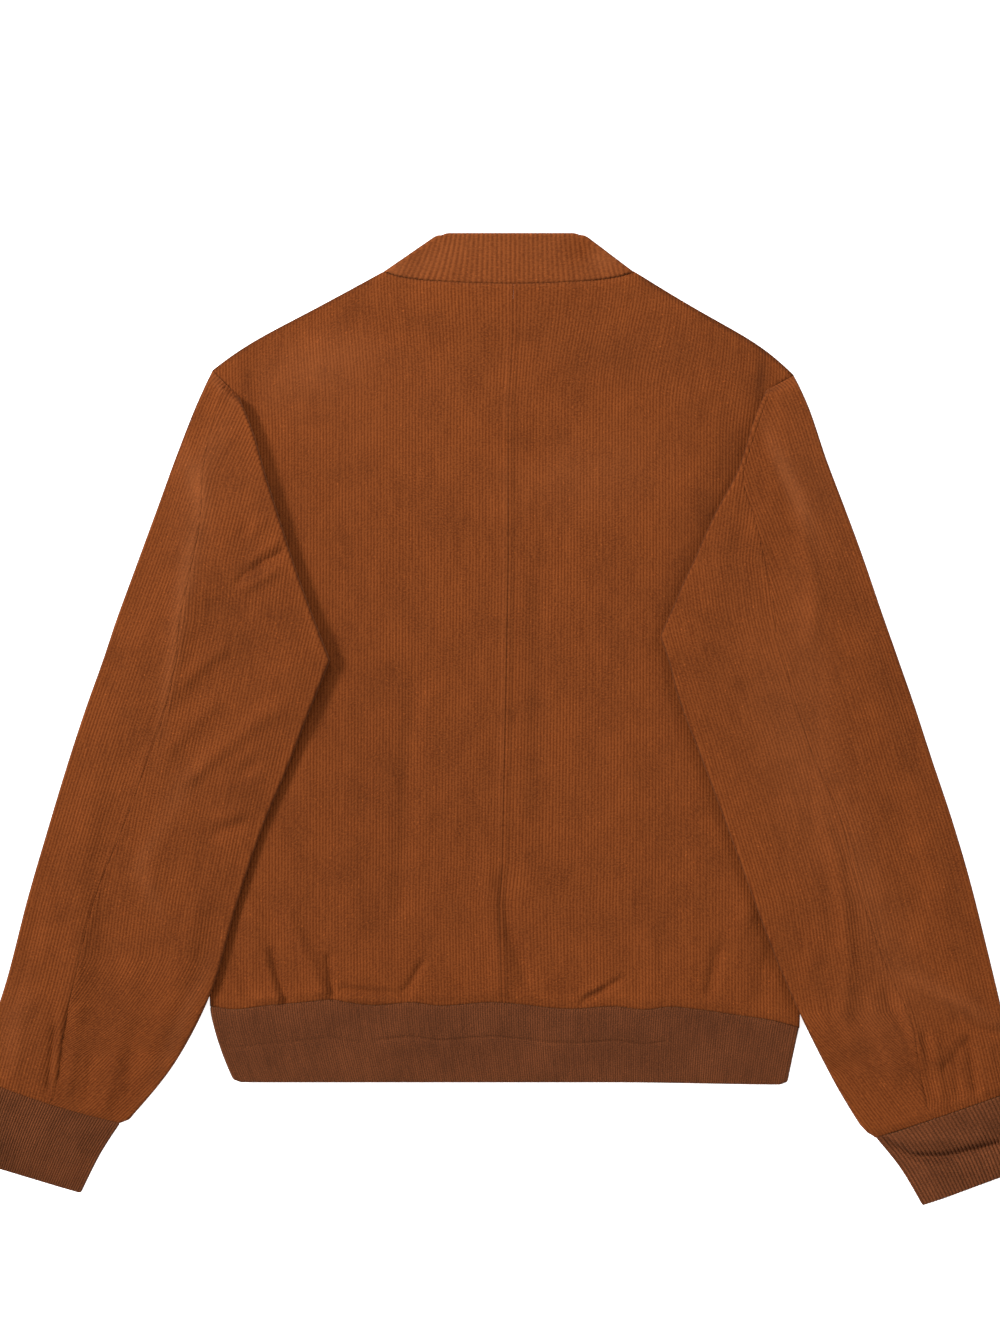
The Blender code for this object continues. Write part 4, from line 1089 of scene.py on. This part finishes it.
def cuff(side, counts, down):
    """Once round the flattened tube: the upper layer from the outer edge, the inner fold, the lower
    layer, the outer fold."""
    leg_steps, turn_steps = counts
    u = spread((0, 1, leg_steps), (1, 2, turn_steps), (2, 3, leg_steps), (3, 4, turn_steps))
    u, v = np.meshgrid(u, np.linspace(0, 1, down), indexing="ij")
    rows = np.array(CUFF_ROWS[side], float)
    ends = [through(rows[:, k], v * (len(rows) - 1)) for k in range(len(CUFF_COLUMNS))]
    outer, inner = np.stack(ends[:2], axis=-1), np.stack(ends[2:], axis=-1)
    width = np.linalg.norm(inner - outer, axis=-1)
    radius = (KNIT + EDGE_GAP) / 2
    fold = KNIT / 2 + radius
    run = width - 2 * fold
    leg = np.minimum(u.astype(int), 3)
    t = u - leg
    bulge = radius * np.sin(np.pi * t)
    s = np.choose(leg, [fold + run * t, width - fold + bulge, width - fold - run * t, fold - bulge])
    plump = CUFF_PLUMP[side] * smooth(np.minimum(s, width - s) / CUFF_PLUMP_RUN)
    turned = radius * (1 - np.cos(np.pi * t))
    z = KNIT / 2 + np.choose(leg, [2 * radius + plump, 2 * radius - turned, 0 * t, turned])
    lift = folds(CUFF_FOLDS[side], *np.moveaxis(outer + (s / width)[..., None] * (inner - outer), -1, 0))
    lift = lift * smooth(np.minimum(s, width - s) / FOLD_RUN)
    z = z + np.maximum(lift, -0.5 - plump) * np.choose(leg, [1, 0, 0, 0])
    point = bowed(side, outer, inner, s / width, 1 - v)
    down_at = v * np.linalg.norm((outer + inner)[:, -1:] - (outer + inner)[:, :1], axis=-1) / 2
    pitch = CUFF_RIB[side]
    arc = pitch * round(math.pi * radius / pitch)
    legs = pitch * round(run.mean() / pitch)
    grain = np.choose(leg, [legs * t, legs + arc * t, legs + arc + legs * t, 2 * legs + arc + arc * t])
    grain[-1] = 2 * legs + 2 * arc
    return {
        "points": np.concatenate([point, z[..., None]], axis=-1),
        "walk": grain,
        "grain": grain,
        "down": down_at,
        "up": down_at[:, -1:] - down_at,
        "square": towards_hand(side, outer[0], inner[0]),
        "stand": np.ones_like(u),
    }


def band(v):
    """The hem band: the under layer from the centre front to the left side, the fold there, the upper
    layer, the fold at the right and the under layer back to the centre front."""
    u = spread((0, 1, 40), (1, 2, 10), (2, 3, 240), (3, 4, 10), (4, 5, 40))
    u, v = np.meshgrid(u, v, indexing="ij")
    radius = (KNIT + BAND_AIR) / 2
    fold = KNIT / 2 + radius
    left = CENTRE_X - HEM_HALF_TOP + (HEM_HALF_TOP - HEM_HALF_BOTTOM - 2) * v**1.4 + fold
    right = CENTRE_X + HEM_HALF_BOTTOM + 7 + 9.5 * (1 - v) - fold
    ends = CENTRE_X - SEAM / 2, CENTRE_X + SEAM / 2
    leg = np.minimum(u.astype(int), 4)
    t = u - leg
    bulge = radius * np.sin(np.pi * t)
    legs = [ends[0] + (left - ends[0]) * t, left - bulge, left + (right - left) * t, right + bulge]
    x = np.choose(leg, [*legs, right + (ends[1] - right) * t])
    plump = BAND_PLUMP * smooth(np.minimum(x - left, right - x) / BAND_PLUMP_RUN)
    turned = radius * (1 - np.cos(np.pi * t))
    z = KNIT / 2 + np.choose(leg, [0 * t, turned, 2 * radius + plump, 2 * radius - turned, 0 * t])
    upper = (leg > 0) & (leg < 4)
    gap = SEAM / 2
    top = hem_seam_y(x, np.where(upper, 1.0, 0.0)) - gap
    bottom = HEM_BOTTOM_Y - BOTTOM_SLANT * smooth((x - SLANT_START) / SLANT_RUN)
    bottom = bottom + CORNER_ROUND * (1 - smooth((np.minimum(x - left, right - x) + fold) / 7))
    arc = RIB * round(math.pi * radius / RIB)
    wide = RIB * round(2 * HEM_HALF_TOP / RIB)
    walk = [-wide / 2 * (1 - t) - arc, -arc * (1 - t), wide * t, wide + arc * t, wide + arc + wide / 2 * t]
    return {
        "points": np.stack([x, top + (bottom - top) * v, z], axis=-1),
        "walk": np.choose(leg, walk),
        "grain": np.choose(leg, walk),
        "down": (top - bottom) * v,
        "up": (top - bottom) * (1 - v),
        "square": np.array([0.0, -1.0, 0.0]),
        "stand": np.ones_like(u),
    }


# %% Making the knit pieces
for side in ("left", "right"):
    grid = cuff(side, (90, 10), 44)
    columns = wale_columns(grid, CUFF_RIB[side])
    relief = ribs(RIB_DEPTH[side], (0, 0, 2.0, 2.5))
    pieces[f"cuff_{side}"] = skin(
        f"cuff_{side}", grid, columns, CUFF_RIB[side], KNIT, relief, nap_and_shading(CUFF_NAP), closed=True
    )
grid = band(spread((0, 0.38, 12), (0.38, 0.56, 14), (0.56, 1, 14)))
columns = wale_columns(grid, RIB)
BAND_LINES = (
    (28.0, -106, 142, 1.0, 1.0),
    (31.0, -232, -105, 1.0, 0.5),
    (28.5, -108, -96, 2.4, 0.8),
    (27.5, 40, 58, 2.0, 0.5),
    (30.5, 98, 112, 2.0, 0.5),
    (30.0, 168, 210, 2.4, 0.6),
)
relief = ribs(RIB_DEPTH["hem"], (1.0, 1.0, 2.0, 2.5), BAND_LINES)
pieces["hem_band"] = skin("hem_band", grid, columns, RIB, KNIT, relief, nap_and_shading(()), outward=-1)

# %% [markdown]
# ## The stand collar
# The collar is a doubled band of the same corduroy with its wales upright. Laid flat, its back half covers
# its front half, and it narrows from the neck seam to its top edge.

# %% Collar
COLLAR_STEPS = 40, 10, 140  # grid steps across a hidden half, a side fold and the back
COLLAR_LEAN = {"left": 0.5, "right": 0.3}  # its wales splay towards the neck seam, most beside the folds
LEAN_START, LEAN_RUN = 5.0, 100.0
COLLAR_SPREAD = 0.02  # the seam's wales stand a little closer than the top edge's
UNDER_PACE = 0.9  # grain for each millimetre walked on the hidden half


def collar_line(side, drop, share, v):
    """On straight lines from the neck seam at v = 0 to the top edge at v = 1. share runs from the centre
    to the side fold, and drop lowers the layer's middle."""
    angle = np.linspace(0, np.pi / 2, 200)
    short = angle / (np.pi / 2) * math.asin(1 - COLLAR_INSET[side] / NECK_HALF[side])
    seam_x = NECK_HALF[side] * np.sin(short)
    seam_y = NECK_Y + NECK_POINT_RISE + SEAM / 2 - (NECK_POINT_RISE + drop) * np.cos(short)
    top_x = COLLAR_TOP_HALF * np.sin(angle)
    top_y = NECK_Y + COLLAR_HEIGHT - drop * np.cos(angle) ** 1.5 - COLLAR_ROUND * smooth((angle - 1.1) / 0.47)
    ends = []
    for x, y in ((seam_x, seam_y), (top_x, top_y)):
        length = np.r_[0, np.cumsum(np.hypot(np.diff(x), np.diff(y)))]
        ends.append([np.interp(share * length[-1], length, x), np.interp(share * length[-1], length, y)])
    (x0, y0), (x1, y1) = ends
    return NECK_X + sign_of(side) * (x0 + (x1 - x0) * v), y0 + (y1 - y0) * v


def collar(down):
    """Across as the hem band, down from the top edge at v = 1 to the neck seam at 0."""
    half, fold, back = COLLAR_STEPS
    u = spread((0, 1, half), (1, 2, fold), (2, 3, back), (3, 4, fold), (4, 5, half))
    u, v = np.meshgrid(u, np.linspace(1, 0, down), indexing="ij")
    radius = (COLLAR_CORD + COLLAR_AIR) / 2
    leg = np.minimum(u.astype(int), 4)
    t = u - leg
    x, y = np.zeros_like(u), np.zeros_like(u)
    for side, under_leg, fold_leg in (("left", 0, 1), ("right", 4, 3)):
        rise = t if side == "left" else 1 - t
        seam = sign_of(side) * SEAM / 2 * (1 - rise)
        upper = collar_line(side, 0.0, np.abs(2 * t - 1), v)
        under = collar_line(side, FRONT_NECK_DROP, rise, v)
        edge = collar_line(side, 0.0, np.ones_like(t), v)
        bulge = radius * math.hypot(COLLAR_HEIGHT, 44) / COLLAR_HEIGHT * np.sin(np.pi * rise)
        round_fold = edge[0] + sign_of(side) * bulge, edge[1]
        mine = (leg == 2) & ((t < 0.5) == (side == "left"))
        layers = (mine, upper, 0), (leg == under_leg, under, seam), (leg == fold_leg, round_fold, 0)
        for where, (layer_x, layer_y), aside in layers:
            x, y = np.where(where, layer_x + aside, x), np.where(where, layer_y, y)
    turned = radius * (1 - np.cos(np.pi * t))
    z = COLLAR_CORD / 2 + np.choose(leg, [0 * t, turned, 2 * radius + 0 * t, 2 * radius - turned, 0 * t])
    points = np.stack([x, y, z], axis=-1)
    from_middle = x - NECK_X
    most = np.where(from_middle < 0, COLLAR_LEAN["left"], COLLAR_LEAN["right"])
    lean = most * smooth((np.abs(from_middle) - LEAN_START) / LEAN_RUN)
    wide = from_middle - np.sign(from_middle) * lean * (NECK_Y + COLLAR_HEIGHT - y)
    flat = wide * (1 + COLLAR_SPREAD * np.abs(v - 1))
    walked, below = walked_over(points)
    first, last = half + fold, half + fold + back
    before, after = walked[first] - walked, walked - walked[last]
    under = flat[first] - UNDER_PACE * before, flat[last] + UNDER_PACE * after
    middles = walked[first - fold // 2], walked[last + fold // 2]
    from_fold = np.minimum(np.abs(walked - middles[0]), np.abs(walked - middles[1]))
    return {
        "points": points,
        "walk": walked,
        "grain": np.where(leg == 2, flat, np.where(leg < 2, under[0], under[1])),
        "down": below,
        "up": below[:, -1:] - below,
        "square": np.array([0.0, -1.0, 0.0]),
        "stand": smooth((from_fold - 4) / 4),
        "turns": [(middle, 4.0) for middle in middles],
    }


# Besides real nap, the dark patch right of the middle and the light one beside it paint the shade and the
# highlight of a dent in the collar.
COLLAR_NAP_AND_SHADING = (
    (-60, 372, 40, 12, 25, 0.3),
    (64, 386, 10, 10, 0, -0.5),
    (85, 376, 12, 12, 0, 0.5),
    (10, 380, 200, 60, 0, 0.35),
    (-88, 369, 9, 6, 30, 0.7),
)
grid = collar(24)
columns = wale_columns(grid, COLLAR_WALE, grid["turns"])
rolls = (1.0, SEAM_DIP), (1.0, SEAM_DIP), (2.5, SEAM_DIP), (0.9, SOFT_DIP)
relief = wales(COLLAR_WALE_DEPTH, rolls)
pieces["collar"] = skin(
    "collar", grid, columns, COLLAR_WALE, COLLAR_CORD, relief, nap_and_shading(COLLAR_NAP_AND_SHADING), outward=-1
)

# %% [markdown]
# ## Cloth finishes
# Corduroy gets its look from three things: dark valleys between lit wales, cotton fibres that scatter
# light along every wale, and a nap that lies unevenly. Each is a mask that changes the dyed colour, so the
# dark of the valleys is painted shade, and the nap mask also carries painted shadows and highlights. The
# masks that both cloths use are node groups, so that the knit shares them with its own numbers.

# %% Node helpers


def node(tree, kind, settings=None, **inputs):
    """Adds a node. Settings are its own fields, and inputs are its sockets, linked or given a value."""
    made = tree.nodes.new(kind)
    for name, value in (settings or {}).items():
        setattr(made, name, value)
    for name, value in inputs.items():
        key = int(name[1:]) if name[0] == "_" else name.replace("_", " ")
        if isinstance(value, bpy.types.NodeSocket):
            tree.links.new(value, made.inputs[key])
        else:
            made.inputs[key].default_value = value
    return made


def set_sockets(made, values):
    """Gives a node's own sockets their constants."""
    for socket, value in values.items():
        made.inputs[socket].default_value = value


def maths(tree, operation, *values):
    """The first output of a Math node over one to three values or sockets."""
    inputs = {f"_{k}": value for k, value in enumerate(values)}
    return node(tree, "ShaderNodeMath", {"operation": operation}, **inputs).outputs[0]


def new_group(name, inputs, outputs):
    tree = bpy.data.node_groups.new(name, "ShaderNodeTree")
    for names, in_out in ((inputs, "INPUT"), (outputs, "OUTPUT")):
        for socket_name, kind in names:
            tree.interface.new_socket(socket_name, in_out=in_out, socket_type=kind)
    return tree, tree.nodes.new("NodeGroupInput").outputs, tree.nodes.new("NodeGroupOutput").inputs


# %% Shared masks
FLOAT, VECTOR = "NodeSocketFloat", "NodeSocketVector"
LINT_SCALE, LINT_START, LINT_LIGHT = 620.0, 0.66, 5.0  # specks less than two millimetres wide


def rows_mask():
    """1 along the top of each row of the cloth and 0 in the valley between two: |sin(pi u)| ^ power."""
    tree, given, out = new_group("cloth_rows", [("Count", FLOAT), ("Power", FLOAT)], [("Top", FLOAT)])
    wave = maths(tree, "ABSOLUTE", maths(tree, "SINE", maths(tree, "MULTIPLY", given["Count"], math.pi)))
    tree.links.new(maths(tree, "POWER", wave, given["Power"]), out["Top"])
    return tree


def fibre_mask():
    """Three noises about 0: fine fibres drawn out along the rows, slow changes from row to row, and
    broad cloudy mottling. Speck is the share of light lint, 0 almost everywhere."""
    tree, given, out = new_group(
        "cloth_fibres",
        [("Cloth", VECTOR), ("Across", FLOAT), ("Along", FLOAT), ("Place", VECTOR), ("Cloud", FLOAT)],
        [("Fibre", FLOAT), ("Row", FLOAT), ("Cloud", FLOAT), ("Speck", FLOAT)],
    )

    def stretched(across, along, detail):
        scale = node(tree, "ShaderNodeCombineXYZ", X=across, Y=along, Z=0.0).outputs[0]
        drawn = node(tree, "ShaderNodeVectorMath", {"operation": "MULTIPLY"}, _0=given["Cloth"], _1=scale)
        return node(
            tree, "ShaderNodeTexNoise", Vector=drawn.outputs[0], Scale=1.0, Detail=detail, Roughness=0.65
        ).outputs["Fac"]

    place = given["Place"]
    cloud = node(tree, "ShaderNodeTexNoise", Vector=place, Scale=given["Cloud"], Detail=6.0, Roughness=0.7)
    fibre = stretched(given["Across"], given["Along"], 3.0)
    tree.links.new(maths(tree, "SUBTRACT", fibre, 0.5), out["Fibre"])
    tree.links.new(maths(tree, "SUBTRACT", stretched(0.9, 0.03, 2.0), 0.5), out["Row"])
    tree.links.new(maths(tree, "SUBTRACT", cloud.outputs["Fac"], 0.5), out["Cloud"])
    lint = node(tree, "ShaderNodeTexNoise", Vector=place, Scale=LINT_SCALE, Detail=1.0).outputs["Fac"]
    lint = maths(tree, "MAXIMUM", maths(tree, "SUBTRACT", lint, LINT_START), 0.0)
    tree.links.new(maths(tree, "MULTIPLY", lint, LINT_LIGHT), out["Speck"])
    return tree


ROWS, FIBRES = rows_mask(), fibre_mask()

# %% The two cloths
PAINTED_SHEEN_PILE = 0.168, 0.056, 0.020  # painted sheen: the paler colour of pile that catches the light
KNIT_ROW = 1.5  # millimetres from one row of knit stitches to the next
CLOUD_SCALE = 28.0
ROW_MIDDLE = 0.55  # about the mean of the corduroy's row mask
ROW_CHANGE = 1.3  # how far one row differs from the next
FLAT_NAP, FLAT_FADE, FLAT_LIGHT = 0.5, 1.6, 0.5  # past the first, nap lies flat: rows fade, and it lightens
WORN_CLOUD, WORN_LEAST = 3.6, 0.1  # how far the clouds wear the rows away, and what is left of them
BLOOM, BLOOM_MOST = 0.33, 0.27  # share of painted sheen for each unit of the nap value above 0, and its limit
COTTON = {
    "Roughness": 0.9,
    "Specular IOR Level": 0.08,
    "Sheen Weight": 0.16,
    "Sheen Roughness": 0.45,
    "Sheen Tint": (0.95, 0.48, 0.24, 1.0),
}


def cloth(name, colours, rows_power, across, along, weights, bump, crossing=None):
    """A cloth's material. colours are the valley's and the row top's, in linear light, and weights say
    how strongly the fibres, the clouds and the nap with its painted shading shift the one towards the other
    or its brightness."""
    material = bpy.data.materials.new(name)
    material.use_nodes = True
    tree = material.node_tree
    shader = tree.nodes["Principled BSDF"]
    set_sockets(shader, COTTON)
    uv = node(tree, "ShaderNodeUVMap", {"uv_map": "cloth"}).outputs["UV"]
    place = node(tree, "ShaderNodeTexCoord").outputs["Object"]
    split = node(tree, "ShaderNodeSeparateXYZ", Vector=uv)
    rows = node(tree, "ShaderNodeGroup", {"node_tree": ROWS}, Count=split.outputs["X"], Power=rows_power)
    size = {"Across": across, "Along": along, "Cloud": CLOUD_SCALE}
    fibres = node(tree, "ShaderNodeGroup", {"node_tree": FIBRES}, Cloth=uv, Place=place, **size)
    top = rows.outputs["Top"]
    if crossing:
        stitch = maths(tree, "DIVIDE", split.outputs["Y"], crossing)
        courses = node(tree, "ShaderNodeGroup", {"node_tree": ROWS}, Count=stitch, Power=0.5)
        top = maths(tree, "MULTIPLY", top, maths(tree, "MULTIPLY_ADD", courses.outputs["Top"], 0.7, 0.3))
    nap_and_painted_shading = node(tree, "ShaderNodeAttribute", {"attribute_name": "nap_and_painted_shading"}).outputs["Fac"]
    flat = maths(tree, "MAXIMUM", maths(tree, "SUBTRACT", nap_and_painted_shading, FLAT_NAP), 0.0)
    wear_and_shading = maths(tree, "MULTIPLY_ADD", flat, -FLAT_FADE, 1.0)
    wear_and_shading = maths(tree, "MULTIPLY_ADD", fibres.outputs["Cloud"], WORN_CLOUD, wear_and_shading)
    wear_and_shading = maths(tree, "MAXIMUM", wear_and_shading, WORN_LEAST)
    level = maths(tree, "MULTIPLY_ADD", flat, FLAT_LIGHT, ROW_MIDDLE)
    top = maths(tree, "MULTIPLY_ADD", maths(tree, "SUBTRACT", top, ROW_MIDDLE), wear_and_shading, level)
    mixed = maths(tree, "MULTIPLY_ADD", fibres.outputs["Fibre"], weights[0], top)
    mixed = maths(tree, "MULTIPLY_ADD", fibres.outputs["Row"], ROW_CHANGE, mixed)
    valley, crest, pale = ((*colour, 1.0) for colour in (*colours, PAINTED_SHEEN_PILE))
    colour_mix = {"data_type": "RGBA"}
    hue = node(tree, "ShaderNodeMix", colour_mix, _0=mixed, _6=valley, _7=crest).outputs[2]
    # Above 0 the colour turns towards the painted sheen.
    bloom = maths(tree, "MULTIPLY", maths(tree, "MAXIMUM", nap_and_painted_shading, 0.0), BLOOM)
    bloom = maths(tree, "MINIMUM", bloom, BLOOM_MOST)
    hue = node(tree, "ShaderNodeMix", colour_mix, _0=bloom, _6=hue, _7=pale).outputs[2]
    light = maths(tree, "MULTIPLY_ADD", fibres.outputs["Cloud"], weights[1], 1.0)
    # The nap value scales the brightness: real nap, and the painted shadows and highlights that it carries.
    light = maths(tree, "MULTIPLY_ADD", nap_and_painted_shading, weights[2], light)
    light = maths(tree, "ADD", fibres.outputs["Speck"], light)
    tinted = node(tree, "ShaderNodeVectorMath", {"operation": "SCALE"}, _0=hue, Scale=light)
    tree.links.new(tinted.outputs[0], shader.inputs["Base Color"])
    raised = maths(tree, "MULTIPLY_ADD", fibres.outputs["Fibre"], 0.8, maths(tree, "MULTIPLY", top, bump[1]))
    bumped = node(tree, "ShaderNodeBump", Strength=bump[0], Distance=0.0004, Height=raised)
    tree.links.new(bumped.outputs["Normal"], shader.inputs["Normal"])
    return material


# The valley colours are darker than the tops: painted shade in the grooves between wales and ribs, beside the
# shade of their real relief.
RUST = (0.096, 0.0205, 0.0031), (0.163, 0.0402, 0.0078)  # a valley and a wale's top
BROWN = (0.057, 0.0172, 0.0058), (0.124, 0.0358, 0.0119)  # the same of the knit
CORDUROY = cloth("corduroy", RUST, 1.3, 1.3, 0.8, (4.7, 0.7, 0.2), (0.5, 0.4))
RIB_KNIT = cloth("rib_knit", BROWN, 0.8, 1.5, 1.3, (5.4, 1.1, 0.12), (0.7, 0.6), KNIT_ROW)

# %% [markdown]
# ## Finishing the cloth
# Every piece takes its finish, is attached to the root body and stands for its solid, which is hidden.
# The panels lie, and the sleeves, cuffs, band and collar are folded over themselves.

# %% Finish of each piece
for name, piece in pieces.items():
    knit = name == "hem_band" or name.startswith("cuff")
    piece.data.materials.append(RIB_KNIT if knit else CORDUROY)
    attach(piece, "root")
    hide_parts(name)
total = sum(len(piece.data.loop_triangles) for piece in pieces.values())
print(len(pieces), "pieces,", total, "triangles")

# %% [markdown]
# ## Studio
# The jacket lies on a white table under a camera that looks straight down. A low, broad window light
# from the left models the wales and folds. Light back from the far wall, a softbox beyond the collar and
# an even white sky fill the shadows.

# %% Table, light and camera
floor_mesh = bpy.data.meshes.new("table")
floor_mesh.from_pydata([(-4, -4, 0), (4, -4, 0), (4, 4, 0), (-4, 4, 0)], [], [(0, 1, 2, 3)])
floor = bpy.data.objects.new("table", floor_mesh)
bpy.context.scene.collection.objects.link(floor)
white = bpy.data.materials.new("white_table")
white.use_nodes = True
WHITE_TABLE = {
    "Base Color": (0.9, 0.9, 0.9, 1.0),
    "Roughness": 1.0,
    "Emission Color": (1.0, 1.0, 1.0, 1.0),
    "Emission Strength": 0.85,
}
set_sockets(white.node_tree.nodes["Principled BSDF"], WHITE_TABLE)
floor.data.materials.append(white)

world = bpy.data.worlds.new("studio")
world.use_nodes = True
set_sockets(world.node_tree.nodes["Background"], {"Color": (1.0, 1.0, 1.0, 1.0), "Strength": 0.26})
bpy.context.scene.world = world


def lamp(name, kind, energy, place, **settings):
    """A light at a place, turned to the middle of the table."""
    light = bpy.data.lights.new(name, kind)
    light.energy = energy
    for setting, value in settings.items():
        setattr(light, setting, value)
    holder = bpy.data.objects.new(name, light)
    holder.location = place
    holder.rotation_euler = (-Vector(place)).to_track_quat("-Z", "Y").to_euler()
    bpy.context.scene.collection.objects.link(holder)


lamp("window", "SUN", 4.1, (-1.5, 0.3, 1.08), angle=math.radians(15))
lamp("far wall", "SUN", 1.6, (1.4, 0.35, 1.0), angle=math.radians(36))
lamp("softbox", "AREA", 8.0, (-0.25, 1.0, 0.85), shape="SQUARE", size=0.7)

lens = bpy.data.cameras.new("overhead")
lens.lens = 100.0
lens.sensor_width = 36.0
camera = bpy.data.objects.new("overhead", lens)
camera.location = (0.0, 0.043, 3.042)
bpy.context.scene.collection.objects.link(camera)
bpy.context.scene.camera = camera
bpy.context.scene.view_settings.view_transform = "Standard"
